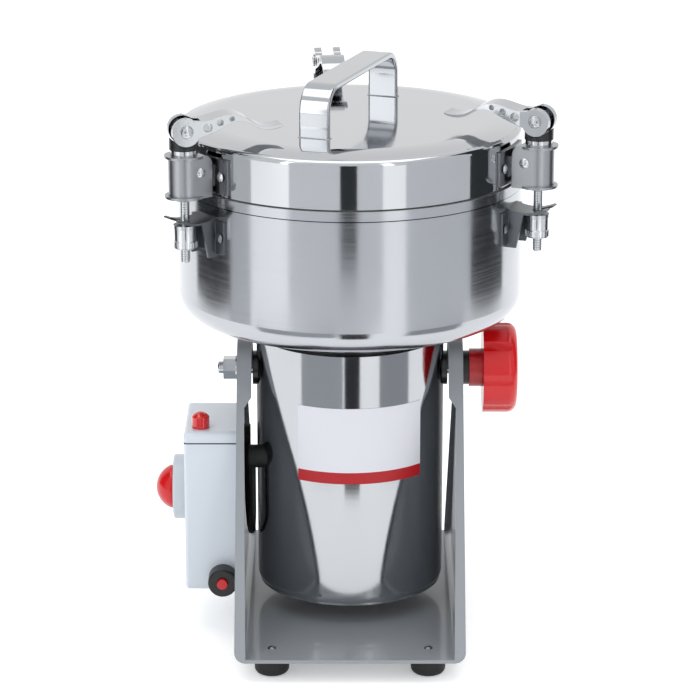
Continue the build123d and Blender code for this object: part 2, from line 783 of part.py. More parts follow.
# Stator with two poles, and a field coil round each pole
pole_half = 16.0
pole_tip_depth = 6.5
pole_tip_half = 28.0
lug_half = 8.0
lug_root = 1.0
coil_half = 25.0
coil_inner_y = 43.5
coil_outer_y = 49.0
coil_overhang = 10.0
coil_corner = 6.0
core_height = core_top_z - core_low_z
with BuildPart() as stator_core:
    with BuildSketch(Plane.XY.offset(core_low_z)):
        Circle(pole_radius + pole_tip_depth)
        Circle(pole_radius, mode=Mode.SUBTRACT)
        Rectangle(2 * pole_tip_half, 2 * stator_inner, mode=Mode.INTERSECT)
        for side in (-1, 1):
            with Locations((0, side * (pole_radius + pole_tip_depth + stator_inner) / 2)):
                Rectangle(2 * pole_half, stator_inner - pole_radius - pole_tip_depth + sheet)
    extrude(amount=core_height)
    with BuildSketch(Plane.XY.offset(core_low_z)):
        Circle(stator_outer)
        with PolarLocations(stator_outer, 4, start_angle=45):
            Rectangle(2 * (shield_radius - stator_outer + lug_root), 2 * lug_half)
        Circle(shield_radius, mode=Mode.INTERSECT)
        Circle(stator_inner, mode=Mode.SUBTRACT)
    extrude(amount=core_height)
save(stator_core.part, "stator_core")

with BuildPart() as field_windings:
    core_middle_z = (core_low_z + core_top_z) / 2
    for side in (-1, 1):
        with BuildSketch(Plane(origin=(0, side * coil_inner_y, core_middle_z), x_dir=(side, 0, 0),
                               z_dir=(0, side, 0))):
            RectangleRounded(2 * coil_half, core_height + 2 * coil_overhang, coil_corner)
            Rectangle(2 * (pole_half + body_gap), core_height + 2 * body_gap, mode=Mode.SUBTRACT)
        extrude(amount=coil_outer_y - coil_inner_y)
save(field_windings.part, "field_windings")

# Brush gear on the lower shield
brush_half_y = 4.0
brush_half_z = 5.0
brush_length = 18.0
holder_half_y = 7.0
holder_half_z = 8.0
holder_inner_x = 19.0
holder_outer_x = 46.0
holder_post_inset = 4.0
with BuildPart() as brush_holders:
    for side in (-1, 1):
        with BuildSketch(Plane(origin=(side * holder_inner_x, 0, brush_z), x_dir=(0, 1, 0),
                               z_dir=(side, 0, 0))):
            Rectangle(2 * holder_half_y, 2 * holder_half_z)
            Rectangle(2 * (brush_half_y + running_clearance), 2 * (brush_half_z + running_clearance),
                      mode=Mode.SUBTRACT)
        extrude(amount=holder_outer_x - holder_inner_x)
        with BuildSketch(Plane.XY.offset(lower_plate_z + lower_plate)):
            with Locations((side * (holder_inner_x + holder_outer_x) / 2, 0)):
                Rectangle(holder_outer_x - holder_inner_x - 2 * holder_post_inset, 2 * holder_half_y)
        extrude(amount=brush_z - holder_half_z - lower_plate_z - lower_plate)
save(brush_holders.part, "brush_holders")

with BuildPart() as carbon_brushes:
    for side in (-1, 1):
        with BuildSketch(Plane(origin=(side * (commutator_radius + body_gap), 0, brush_z),
                               x_dir=(0, 1, 0), z_dir=(side, 0, 0))):
            Rectangle(2 * brush_half_y, 2 * brush_half_z)
        extrude(amount=brush_length)
save(carbon_brushes.part, "carbon_brushes")

# Rotor: shaft, armature, commutator, fan, blades
shaft_tail = 3.0
shaft_low_z = lower_bearing_z - shaft_tail
shaft_top_z = bowl_bottom_z + shaft_rise
end_winding_radius = 28.0
end_winding_height = 5.0
armature_slots = 12
slot_depth = 5.0
slot_width = 3.0
commutator_bars = 18
bar_groove_depth = 1.5
bar_groove_width = 0.8
rotor_bore = shaft_radius + running_clearance
with BuildPart() as motor_shaft:
    tube(shaft_radius, 0, shaft_low_z, shaft_top_z)
    chamfer(motor_shaft.edges().group_by(Axis.Z)[-1], end_chamfer)
save(motor_shaft.part, "motor_shaft")

with BuildPart() as armature:
    with BuildSketch(Plane.XY.offset(core_low_z)):
        Circle(armature_radius)
        with PolarLocations(armature_radius, armature_slots):
            Rectangle(2 * slot_depth, slot_width, mode=Mode.SUBTRACT)
        Circle(rotor_bore, mode=Mode.SUBTRACT)
    extrude(amount=core_height)
    tube(end_winding_radius, rotor_bore, core_low_z - end_winding_height, core_low_z)
    tube(end_winding_radius, rotor_bore, core_top_z, core_top_z + end_winding_height)
save(armature.part, "armature")

with BuildPart() as commutator:
    with BuildSketch(Plane.XY.offset(commutator_low_z)):
        Circle(commutator_radius)
        with PolarLocations(commutator_radius, commutator_bars):
            Rectangle(2 * bar_groove_depth, bar_groove_width, mode=Mode.SUBTRACT)
        Circle(rotor_bore, mode=Mode.SUBTRACT)
    extrude(amount=commutator_top_z - commutator_low_z)
save(commutator.part, "commutator")

fan_blades = 9
fan_plate = 2.0
fan_hub = 14.0
with BuildPart() as cooling_fan:
    tube(fan_radius, rotor_bore, fan_low_z, fan_low_z + fan_plate)
    tube(fan_hub, rotor_bore, fan_low_z, fan_top_z)
    with BuildSketch(Plane.XY.offset(fan_low_z)):
        with PolarLocations((fan_hub + fan_radius) / 2 - fan_plate / 2, fan_blades):
            Rectangle(fan_radius - fan_hub, fan_plate)
    extrude(amount=fan_top_z - fan_low_z)
save(cooling_fan.part, "cooling_fan")


def radial_plane(angle):
    """Upright plane through the bowl's axis, with its x pointing outwards at this angle."""
    turn = radians(angle)
    return Plane(origin=(0, 0, 0), x_dir=(cos(turn), sin(turn), 0), z_dir=(sin(turn), -cos(turn), 0))


def level_plane(angle, height):
    """Level plane at a height, with its x pointing outwards at this angle."""
    turn = radians(angle)
    return Plane(origin=(0, 0, height), x_dir=(cos(turn), sin(turn), 0), z_dir=(0, 0, 1))


def facing_plane(angle, reach, height):
    """Plane that faces outwards at this angle, at a distance from the bowl's axis."""
    turn = radians(angle)
    return Plane(origin=(reach * cos(turn), reach * sin(turn), height), x_dir=(-sin(turn), cos(turn), 0),
                 z_dir=(cos(turn), sin(turn), 0))


clamp_angles = [angle for angle, lever_turn in clamp_places.values()]
bracket_rivet_t = 17.5
bowl_rivet_drop = 32.0
bowl_rivet_z = bowl_top_z - bowl_rivet_drop
lid_rivet_rise = 16.1
lid_rivet_z = lid_low_z + lid_rivet_rise

# Grinding bowl with its rolled rim
with BuildPart() as bowl:
    with BuildSketch(Plane.XZ) as bowl_section:
        inner = bowl_radius - bowl_wall
        Polygon(
            (seal_radius, bowl_bottom_z),
            (bowl_radius, bowl_bottom_z),
            (bowl_radius, bowl_top_z - rim_band_height),
            (bowl_radius + rim_band_step, bowl_top_z - rim_band_height),
            (bowl_radius + rim_band_step, bowl_top_z),
            (rim_flange_inner, bowl_top_z),
            (rim_flange_inner, bowl_top_z - bowl_wall),
            (inner, bowl_top_z - bowl_wall),
            (inner, bowl_floor_z),
            (seal_radius, bowl_floor_z),
            align=None,
        )
        fillet(bowl_section.vertices().sort_by_distance((bowl_radius, bowl_bottom_z))[0], bowl_corner)
        fillet(bowl_section.vertices().sort_by_distance((inner, bowl_floor_z))[0],
               bowl_corner - bowl_wall)
    revolve(axis=Axis.Z)
    with BuildSketch(Plane.XY.offset(bowl_bottom_z)):
        with PolarLocations(bowl_screw_circle, 4, start_angle=45):
            Circle(screw_shank + running_clearance)
    extrude(amount=bowl_floor, mode=Mode.SUBTRACT)
    for angle in clamp_angles:
        with BuildSketch(facing_plane(angle, bowl_radius, bowl_rivet_z)):
            with Locations((-bracket_rivet_t, 0), (bracket_rivet_t, 0)):
                Circle(rivet_radius + running_clearance)
        extrude(amount=4 * bowl_wall, both=True, mode=Mode.SUBTRACT)
save(bowl.part, "bowl")

seal_flange = 20.0
seal_flange_height = 3.0
with BuildPart() as shaft_seal:
    tube(seal_radius, shaft_radius + body_gap, bowl_bottom_z - neck_plate, bowl_floor_z)
    tube(seal_flange, shaft_radius + body_gap, bowl_floor_z, bowl_floor_z + seal_flange_height)
save(shaft_seal.part, "shaft_seal")

# Two crossed grinding blades with their spacers and nut
blade_tip_width = 15.0
spacer_radius = 11.0
blade_nut_flats = 19.0
blade_nut_height = 8.0
seal_top_z = bowl_floor_z + seal_flange_height
with BuildPart() as grinding_blades:
    for level, turn in ((lower_blade_z, 0), (upper_blade_z, 90)):
        with BuildPart(mode=Mode.PRIVATE) as blade:
            with BuildSketch(level_plane(turn, level)):
                Polygon(
                    (-blade_reach, -blade_tip_width + blade_width / 2),
                    (0, -blade_width / 2),
                    (blade_reach, -blade_width / 2),
                    (blade_reach, blade_tip_width - blade_width / 2),
                    (0, blade_width / 2),
                    (-blade_reach, blade_width / 2),
                    align=None,
                )
                Circle(rotor_bore, mode=Mode.SUBTRACT)
            extrude(amount=blade_thickness)
        add(blade.part)
save(grinding_blades.part, "grinding_blades")

with BuildPart() as blade_fasteners:
    tube(spacer_radius, rotor_bore, seal_top_z + body_gap, lower_blade_z)
    tube(spacer_radius, rotor_bore, lower_blade_z + blade_thickness, upper_blade_z)
    with BuildSketch(Plane.XY.offset(upper_blade_z + blade_thickness)):
        RegularPolygon(blade_nut_flats / 2, 6, major_radius=False)
        Circle(rotor_bore, mode=Mode.SUBTRACT)
    extrude(amount=blade_nut_height)
save(blade_fasteners.part, "blade_fasteners")

# Fork brackets riveted below the bowl's rim
bracket_root = 3.0
bracket_inner = bowl_radius - bracket_root
fork_foot_out = 8.0
fork_foot_reach = bowl_radius + fork_foot_out
fork_flange_rise = 13.0
fork_plate_low_z = pivot_z - fork_arc_radius


def fork_bracket(angle):
    """One bracket: two webs, an arched plate with an open slot, and a saddle on the bowl."""
    radial = radial_plane(angle)
    plate_reach = fork_tip_reach - bracket_inner
    with BuildPart() as bracket:
        with BuildSketch(radial):
            Polygon((bracket_inner, fork_low_z), (fork_foot_reach, fork_low_z),
                    (pivot_reach, fork_plate_low_z + clamp_sheet / 2),
                    (bracket_inner, fork_plate_low_z + 2 * clamp_sheet), align=None)
        extrude(amount=fork_web_half, both=True)
        with BuildSketch(level_plane(angle, fork_low_z)):
            with Locations((pivot_reach, 0)):
                Rectangle(2 * plate_reach, 2 * (fork_web_half - clamp_sheet))
        extrude(amount=2 * fork_web_half + 2 * housing_half, mode=Mode.SUBTRACT)
        with BuildSketch(radial):
            with Locations((pivot_reach, pivot_z)):
                Circle(fork_arc_radius)
                Circle(fork_arc_radius - clamp_sheet, mode=Mode.SUBTRACT)
            with Locations((bracket_inner + plate_reach / 2, fork_top_limit_z - housing_half)):
                Rectangle(plate_reach, 2 * housing_half, mode=Mode.INTERSECT)
        extrude(amount=fork_web_half, both=True)
        with BuildSketch(level_plane(angle, bowl_rivet_z - fork_flange_rise)):
            Circle(bowl_radius + clamp_sheet)
            with Locations((bowl_radius, 0)):
                Rectangle(2 * housing_half, 2 * fork_flange_half, mode=Mode.INTERSECT)
        extrude(amount=2 * fork_flange_rise)
        with BuildSketch(level_plane(angle, fork_low_z)):
            with Locations((rod_reach, 0)):
                Circle(fork_slot_half)
            with Locations((rod_reach + lip_reach, 0)):
                Rectangle(2 * lip_reach, 2 * fork_slot_half)
            Circle(bowl_radius + running_clearance)
        extrude(amount=2 * housing_half + 2 * fork_web_half, mode=Mode.SUBTRACT)
        with BuildSketch(facing_plane(angle, bowl_radius, bowl_rivet_z)):
            with Locations((-bracket_rivet_t, 0), (bracket_rivet_t, 0)):
                Circle(rivet_radius + running_clearance)
        extrude(amount=2 * clamp_sheet, both=True, mode=Mode.SUBTRACT)
    return bracket.part


with BuildPart() as bowl_brackets:
    for angle in clamp_angles:
        add(fork_bracket(angle))
save(bowl_brackets.part, "bowl_brackets")


def rivet_pair(angle, wall_radius, wall, height):
    """Two rivets through a curved wall and the bracket on it, with a domed head outside."""
    outside = wall_radius + clamp_sheet
    head_reach = sqrt(outside ** 2 - (bracket_rivet_t - rivet_head_radius) ** 2) + running_clearance
    end_reach = sqrt((wall_radius - wall) ** 2 - bracket_rivet_t ** 2) - rivet_tail
    with BuildPart() as rivets:
        for side in (-1, 1):
            place = facing_plane(angle, head_reach, height).shift_origin(
                facing_plane(angle, head_reach, height).from_local_coords((side * bracket_rivet_t, 0, 0))
            )
            round_head(rivet_head_radius, rivet_head_height, place)
            with BuildSketch(place) as shank:
                Circle(rivet_radius)
            extrude(shank.sketch, amount=end_reach - head_reach)
    return rivets.part


rivet_tail = 1.0
rivet_head_height = 1.8
with BuildPart() as bowl_rivets:
    for angle in clamp_angles:
        add(rivet_pair(angle, bowl_radius, bowl_wall, bowl_rivet_z))
save(bowl_rivets.part, "bowl_rivets")

# Lid: shallow dome with a downward channel for its gasket
lid_edge_z = lid_top_z - lid_edge_drop
lid_corner_z = lid_edge_z - lid_radius + lid_edge_radius
lid_shoulder = (lid_radius - lid_edge_radius) * (1 - sqrt(0.5))


def lid_profile(inset):
    """Half section of the closed lid shape, drawn in by the inset."""
    outer = lid_radius - inset
    with BuildSketch(Plane.XZ) as half:
        with BuildLine():
            Line((0, lid_top_z - inset), (lid_flat_radius, lid_top_z - inset))
            TangentArc((lid_flat_radius, lid_top_z - inset), (lid_edge_radius, lid_edge_z - inset),
                       tangent=(1, 0))
            ThreePointArc((lid_edge_radius, lid_edge_z - inset),
                          (outer - lid_shoulder, lid_edge_z - inset - lid_shoulder),
                          (outer, lid_corner_z - inset))
            Polyline((outer, lid_corner_z - inset), (outer, lid_low_z), (0, lid_low_z),
                     (0, lid_top_z - inset))
        make_face()
    return half.sketch


with BuildPart() as lid:
    revolve(lid_profile(0), axis=Axis.Z)
    with BuildPart(mode=Mode.PRIVATE) as lid_hollow:
        revolve(lid_profile(lid_wall), axis=Axis.Z)
    add(lid_hollow.part, mode=Mode.SUBTRACT)
    with BuildSketch(Plane.XZ):
        Polygon(
            (lid_skirt_outer, lid_skirt_low_z),
            (lid_skirt_outer, lid_web_z),
            (lid_radius - lid_wall, lid_web_z),
            (lid_radius - lid_wall, lid_web_z + lid_wall),
            (lid_skirt_outer - lid_wall, lid_web_z + lid_wall),
            (lid_skirt_outer - lid_wall, lid_skirt_low_z),
            align=None,
        )
    revolve(axis=Axis.Z)
    for angle in clamp_angles:
        with BuildSketch(facing_plane(angle, lid_radius, lid_rivet_z)):
            with Locations((-bracket_rivet_t, 0), (bracket_rivet_t, 0)):
                Circle(rivet_radius + running_clearance)
        extrude(amount=4 * lid_wall, both=True, mode=Mode.SUBTRACT)
save(lid.part, "lid")

gasket_low_z = bowl_top_z + body_gap
with BuildPart() as lid_gasket:
    tube(lid_radius - lid_wall - running_clearance, lid_skirt_outer + running_clearance, gasket_low_z,
         lid_web_z)
save(lid_gasket.part, "lid_gasket")

# Strap handle over the lid
handle_plane = radial_plane(handle_angle)
with BuildPart() as handle:
    handle_outer = handle_half_length + handle_strap / 2
    with BuildSketch(handle_plane):
        with BuildLine():
            FilletPolyline((-handle_outer, lid_top_z), (-handle_outer, handle_top_z),
                           (handle_outer, handle_top_z), (handle_outer, lid_top_z),
                           radius=handle_bend)
            Line((handle_outer, lid_top_z), (-handle_outer, lid_top_z))
        make_face()
        handle_inner = handle_outer - handle_strap
        with BuildLine():
            FilletPolyline((-handle_inner, lid_top_z), (-handle_inner, handle_top_z - handle_strap),
                           (handle_inner, handle_top_z - handle_strap), (handle_inner, lid_top_z),
                           radius=handle_bend - handle_strap)
            Line((handle_inner, lid_top_z), (-handle_inner, lid_top_z))
        make_face(mode=Mode.SUBTRACT)
    extrude(amount=handle_width / 2, both=True)
    sides = handle.faces().sort_by(Axis((0, 0, 0), handle_plane.z_dir))
    side_edges = sides[0].edges() + sides[-1].edges()
    fillet(side_edges.filter_by(lambda edge: edge.center().Z > lid_top_z + body_gap), handle_edge_round)
save(handle.part, "handle")

# Lid brackets: a saddle on the lid's wall with two ears for the clamp's pivot
ear_root_lift = 5.0
ear_root_low_z = saddle_low_z + ear_root_lift
ear_root_rise = 3.5
ear_root_top_z = pivot_z + ear_root_rise
ear_end_radius = 5.2


def lid_bracket(angle):
    """One bracket: curved saddle plate and two ears drilled for the pivot."""
    radial = radial_plane(angle)
    with BuildPart() as bracket:
        with BuildSketch(radial):
            Polygon((lid_radius, ear_root_low_z), (pivot_reach, pivot_z - ear_end_radius),
                    (pivot_reach, pivot_z + ear_end_radius), (lid_radius, ear_root_top_z), align=None)
            with Locations((pivot_reach, pivot_z)):
                Circle(ear_end_radius)
        extrude(amount=ear_half, both=True)
        with BuildSketch(level_plane(angle, saddle_low_z)):
            with Locations((pivot_reach, 0)):
                Rectangle(4 * lip_reach, 2 * (ear_half - clamp_sheet))
        extrude(amount=saddle_top_z - saddle_low_z, mode=Mode.SUBTRACT)
        with BuildSketch(level_plane(angle, saddle_low_z)):
            Circle(lid_radius + clamp_sheet)
            with Locations((lid_radius, 0)):
                Rectangle(2 * housing_half, 2 * saddle_half, mode=Mode.INTERSECT)
        extrude(amount=saddle_top_z - saddle_low_z)
        with BuildSketch(level_plane(angle, saddle_low_z)):
            Circle(lid_radius + running_clearance)
        extrude(amount=saddle_top_z - saddle_low_z, mode=Mode.SUBTRACT)
        with BuildSketch(radial):
            with Locations((pivot_reach, pivot_z)):
                Circle(pivot_radius + running_clearance)
        extrude(amount=housing_half, both=True, mode=Mode.SUBTRACT)
        with BuildSketch(facing_plane(angle, lid_radius, lid_rivet_z)):
            with Locations((-bracket_rivet_t, 0), (bracket_rivet_t, 0)):
                Circle(rivet_radius + running_clearance)
        extrude(amount=2 * clamp_sheet, both=True, mode=Mode.SUBTRACT)
    return bracket.part


with BuildPart() as lid_brackets:
    for angle in clamp_angles:
        add(lid_bracket(angle))
save(lid_brackets.part, "lid_brackets")


def pivot_rivet(angle):
    """Pivot rivet of one clamp, through both ears and both cheeks of the housing."""
    radial = radial_plane(angle)
    reach = housing_half + body_gap
    with BuildPart() as rivet:
        with BuildSketch(radial) as shank:
            with Locations((pivot_reach, pivot_z)):
                Circle(pivot_radius)
        extrude(amount=reach, both=True)
        middle = radial.from_local_coords((pivot_reach, pivot_z, 0))
        for side in (-1, 1):
            place = Plane(origin=middle + radial.z_dir * side * reach, x_dir=radial.x_dir,
                          z_dir=radial.z_dir * side)
            round_head(pivot_head_radius, rivet_head_height, place)
    return rivet.part


with BuildPart() as lid_rivets:
    for angle in clamp_angles:
        add(rivet_pair(angle, lid_radius, lid_wall, lid_rivet_z))
        add(pivot_rivet(angle))
save(lid_rivets.part, "lid_rivets")


# Clamps: housing on the lid, rod with nut below, saddle cup and cam lever on top
housing_round = 8.0
nut_flare_height = 3.0
lever_web_start = 12.5
lever_top_curve = [(0, 11), (17, 7.8), (28, 10.5), (38.6, 11.4), (48, 8), (58.5, 1.5), (67, -0.3),
                   (lever_length, 0.8)]
lever_low_curve = [(lever_length, -0.8), (69, -2.6), (58.5, -0.9), (50, 4), (41.5, 5.9), (28, 1),
                   (17, -3.1), (8, -6)]
lever_holes = [(17, 2.4, 3.5), (27, 5.7, 2.5), (36.5, 8.2, 2.0)]


def clamp_housing(angle):
    """Sheet housing with a round nose, hollow towards the lid, with a lip above and below."""
    with BuildPart() as housing:
        with BuildSketch(level_plane(angle, housing_low_z)):
            with Locations(((housing_back_reach + rod_reach) / 2, 0)):
                Rectangle(rod_reach - housing_back_reach, 2 * housing_half)
            with Locations((rod_reach, 0)):
                Circle(housing_half)
        extrude(amount=housing_top_z - housing_low_z)
        upper_lip = level_plane(angle, housing_top_z - clamp_sheet)
        with BuildSketch(level_plane(angle, housing_low_z), upper_lip):
            with Locations((rod_reach, 0)):
                Circle(lip_reach)
        extrude(amount=clamp_sheet)
        with BuildSketch(radial_plane(angle)) as side_shape:
            with Locations(((housing_back_reach + rod_reach + lip_reach) / 2,
                            (housing_low_z + housing_top_z) / 2)):
                Rectangle(rod_reach + lip_reach - housing_back_reach, housing_top_z - housing_low_z)
            corner = side_shape.vertices().group_by(Axis.Y)[-1].sort_by(Axis.X)[0]
            fillet(corner, housing_round)
        extrude(amount=lip_reach, both=True, mode=Mode.INTERSECT)
        with BuildSketch(level_plane(angle, housing_low_z + clamp_sheet)):
            with Locations(((housing_back_reach + rod_reach) / 2 - clamp_sheet, 0)):
                Rectangle(rod_reach - housing_back_reach + 2 * clamp_sheet,
                          2 * (housing_half - clamp_sheet))
            with Locations((rod_reach, 0)):
                Circle(housing_half - clamp_sheet)
        extrude(amount=housing_top_z - housing_low_z - 2 * clamp_sheet, mode=Mode.SUBTRACT)
        with BuildSketch(level_plane(angle, housing_low_z)):
            with Locations((rod_reach, 0)):
                Circle(rod_radius + running_clearance)
        extrude(amount=housing_top_z - housing_low_z, mode=Mode.SUBTRACT)
        with BuildSketch(radial_plane(angle)):
            with Locations((pivot_reach, pivot_z)):
                Circle(pivot_radius + running_clearance)
        extrude(amount=housing_half, both=True, mode=Mode.SUBTRACT)
    return housing.part


def lever_plane(angle, turn):
    """Upright plane on the pin, with its x along the closed lever towards the lid's middle."""
    heading = radians(angle + 180 + turn)
    place = radians(angle)
    return Plane(origin=(rod_reach * cos(place), rod_reach * sin(place), pin_z),
                 x_dir=(cos(heading), sin(heading), 0), z_dir=(sin(heading), -cos(heading), 0))


def clamp_screw(angle, turn):
    """Rod with its nut below and the cross pin that carries the lever above."""
    upright = lever_plane(angle, turn)
    place = upright.origin
    with BuildPart() as screw:
        with BuildSketch(Plane((place.X, place.Y, rod_low_z))):
            Circle(rod_radius)
        extrude(amount=pin_z - rod_low_z)
        with BuildSketch(Plane((place.X, place.Y, nut_low_z))):
            Circle(nut_radius)
        extrude(amount=nut_top_z - nut_low_z)
        with BuildSketch(Plane((place.X, place.Y, nut_top_z - nut_flare_height))):
            Circle(nut_flare)
        extrude(amount=nut_flare_height)
        chamfer(screw.edges().group_by(Axis.Z)[0], end_chamfer / 2)
        with BuildSketch(facing_plane(angle, rod_reach, (nut_low_z + nut_top_z - nut_flare_height) / 2)):
            Circle(nut_hole_radius)
        extrude(amount=2 * nut_radius, both=True, mode=Mode.SUBTRACT)
        with BuildSketch(upright):
            Circle(pin_radius)
        extrude(amount=eye_outer + body_gap, both=True)
        for side in (-1, 1):
            head = Plane(origin=place + upright.z_dir * side * (eye_outer + body_gap),
                         x_dir=upright.x_dir, z_dir=upright.z_dir * side)
            round_head(pin_head_radius, rivet_head_height, head)
    return screw.part


def clamp_cup(angle, turn):
    """Polished ring and, on top of it, the cup whose saddle the cam bears on."""
    upright = lever_plane(angle, turn)
    place = upright.origin
    with BuildPart() as cup:
        with BuildSketch(Plane((place.X, place.Y, housing_top_z))):
            Circle(ring_radius)
        extrude(amount=ring_top_z - housing_top_z)
        with BuildSketch(Plane((place.X, place.Y, ring_top_z))):
            Circle(cup_radius)
        extrude(amount=cup_top_z - ring_top_z)
        with BuildSketch(upright):
            Circle(cup_saddle_radius)
        extrude(amount=2 * cup_radius, both=True, mode=Mode.SUBTRACT)
        with BuildSketch(Plane((place.X, place.Y, housing_top_z))):
            Circle(rod_radius + running_clearance)
        extrude(amount=cup_top_z - housing_top_z, mode=Mode.SUBTRACT)
    return cup.part


def cam_lever(angle, turn):
    """Closed cam lever: two eyes on the pin and a waved, tapering handle."""
    upright = lever_plane(angle, turn)
    with BuildPart() as lever:
        with BuildSketch(upright):
            with Locations((0, -cam_throw)):
                Circle(eye_radius)
            with BuildLine():
                Spline(*lever_top_curve)
                Line(lever_top_curve[-1], lever_low_curve[0])
                Spline(*lever_low_curve)
                Line(lever_low_curve[-1], lever_top_curve[0])
            make_face()
        extrude(amount=eye_outer, both=True)
        with BuildSketch(upright):
            Rectangle(2 * lever_web_start, 4 * eye_radius)
        extrude(amount=eye_inner, both=True, mode=Mode.SUBTRACT)
        with BuildSketch(Plane(origin=upright.origin, x_dir=upright.x_dir, z_dir=(0, 0, 1))):
            Polygon((-2 * eye_radius, -eye_outer), (lever_web_start, -eye_outer),
                    (lever_length, -lever_tip_half), (lever_length, lever_tip_half),
                    (lever_web_start, eye_outer), (-2 * eye_radius, eye_outer), align=None)
        extrude(amount=2 * eye_radius, both=True, mode=Mode.INTERSECT)
        with BuildSketch(upright):
            Circle(pin_radius + running_clearance)
            for along, up, radius in lever_holes:
                with Locations((along, up)):
                    Circle(radius)
        extrude(amount=eye_outer, both=True, mode=Mode.SUBTRACT)
    return lever.part


for side_name, (clamp_angle, lever_turn) in clamp_places.items():
    save(clamp_housing(clamp_angle), f"clamp_housing_{side_name}")
    save(clamp_screw(clamp_angle, lever_turn), f"clamp_screw_{side_name}")
    save(clamp_cup(clamp_angle, lever_turn), f"clamp_cup_{side_name}")
    save(cam_lever(clamp_angle, lever_turn), f"cam_lever_{side_name}")

# Gland on the barrel and the lead that hangs between it and the gland on the arm
with BuildPart() as barrel_gland:
    cross_bar(gland_radius, 0, -stator_outer, -barrel_radius - barrel_gland_height, gland_z,
              -lead_offset_y)
    with BuildSketch(Plane.XY.offset(gland_z - 2 * gland_radius)):
        Circle(barrel_radius)
    extrude(amount=4 * gland_radius, mode=Mode.SUBTRACT)
    cross_bar(gland_stub_radius, 0, -stator_outer, -barrel_radius, gland_z, -lead_offset_y)
    with BuildSketch(Plane.XY.offset(gland_z)):
        with Locations((-lead_barrel_x, -lead_offset_y)):
            Circle(lead_radius + running_clearance)
    extrude(amount=-2 * gland_radius, mode=Mode.SUBTRACT)
save(barrel_gland.part, "barrel_gland")

lead_middle_x = (lead_arm_x + lead_barrel_x) / 2
lead_bulge_y = 1.5
lead_straight = 27.0
lead_side_z = 90.0
lead_low_z = 73.0
lead_bend_share = 0.45
lead_arm_y = lead_offset_y + lead_bulge_y
lead_points = [
    Vector(-lead_arm_x, lead_offset_y, gland_z),
    Vector(-lead_arm_x, lead_offset_y, gland_z - lead_straight),
    Vector(-lead_arm_x, lead_arm_y, lead_side_z),
    Vector(-lead_middle_x, 0, lead_low_z),
    Vector(-lead_barrel_x, -lead_arm_y, lead_side_z),
    Vector(-lead_barrel_x, -lead_offset_y, gland_z - lead_straight),
    Vector(-lead_barrel_x, -lead_offset_y, gland_z),
]


def bend_radius(before, corner, after):
    """Radius of the bend at a corner that takes the same share of each straight run beside it."""
    turn = radians((corner - before).get_angle(after - corner))
    run = min((corner - before).length, (after - corner).length)
    return lead_bend_share * run / tan(turn / 2)


lead_bends = [bend_radius(*lead_points[i - 1:i + 2]) for i in range(1, len(lead_points) - 1)]
with BuildPart() as motor_lead:
    with BuildLine() as lead_path:
        FilletPolyline(*lead_points, radius=lead_bends)
    with BuildSketch(Plane(lead_points[0], z_dir=(0, 0, -1))):
        Circle(lead_radius)
    sweep(path=lead_path.line)
save(motor_lead.part, "motor_lead")
lead_length = sum(edge.length for edge in lead_path.edges())
print("lead length", round(lead_length, 1), "bend radii", [round(bend, 1) for bend in lead_bends])
lead_volume = pi * lead_radius ** 2 * lead_length
print("lead volume over section times length", round(motor_lead.part.volume / lead_volume, 4))
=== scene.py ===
# %% [markdown]
# # Electric spice grinder
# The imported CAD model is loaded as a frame. It gets its materials and gains the small modelled
# pieces that the solids leave out. All lengths are in metres, in the CAD model's own frame:
# X to the right, Y to the back, Z up, with the origin on the floor below the bowl's axis.

# %% Load the frame
import math

import bpy
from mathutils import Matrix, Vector


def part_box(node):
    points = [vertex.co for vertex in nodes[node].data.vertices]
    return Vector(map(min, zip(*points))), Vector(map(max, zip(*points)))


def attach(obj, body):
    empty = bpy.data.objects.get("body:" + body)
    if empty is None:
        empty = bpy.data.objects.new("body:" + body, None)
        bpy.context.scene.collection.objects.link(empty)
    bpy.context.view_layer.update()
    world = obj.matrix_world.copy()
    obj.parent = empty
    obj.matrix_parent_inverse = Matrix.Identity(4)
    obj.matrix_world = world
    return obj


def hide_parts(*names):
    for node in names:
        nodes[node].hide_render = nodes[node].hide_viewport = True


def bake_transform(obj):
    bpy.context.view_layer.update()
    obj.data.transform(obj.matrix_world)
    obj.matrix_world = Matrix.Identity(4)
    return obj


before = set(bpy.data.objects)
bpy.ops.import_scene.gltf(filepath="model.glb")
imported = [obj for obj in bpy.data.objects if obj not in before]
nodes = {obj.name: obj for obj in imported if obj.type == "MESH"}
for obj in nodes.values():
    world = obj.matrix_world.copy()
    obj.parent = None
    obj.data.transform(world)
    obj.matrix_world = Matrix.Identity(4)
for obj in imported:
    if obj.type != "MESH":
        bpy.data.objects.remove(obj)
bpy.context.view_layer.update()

# %% [markdown]
# ## Names that the steps share
# Sizes are the CAD model's own. Two helpers serve every material: one turns a screen colour into
# the linear colour that shaders use, the other adds a shader node with its settings and links.

# %% Shared sizes and helpers
MM = 0.001
# Each clamp's angle round the lid, and how far it is turned from facing straight out, in degrees.
CLAMPS = {"rear": (97.0, 0.0), "left": (217.0, -21.0), "right": (337.0, 0.0)}
ROD_REACH = 161.5 * MM
PIN_Z = 443 * MM
LID_TOP_Z = 431 * MM
TRUNNION_Z = 219 * MM
# The sRGB curve of a screen: a straight line up to its toe, then a power.
SRGB_TOE = 0.04045
SRGB_TOE_SLOPE = 12.92
SRGB_OFFSET = 0.055
SRGB_POWER = 2.4
# The Mix node's sockets are only told apart by number.
MIX_FACTOR = 0
MIX_LOW_VALUE, MIX_HIGH_VALUE, MIX_VALUE_OUT = 2, 3, 0
MIX_LOW_COLOUR, MIX_HIGH_COLOUR, MIX_COLOUR_OUT = 6, 7, 2


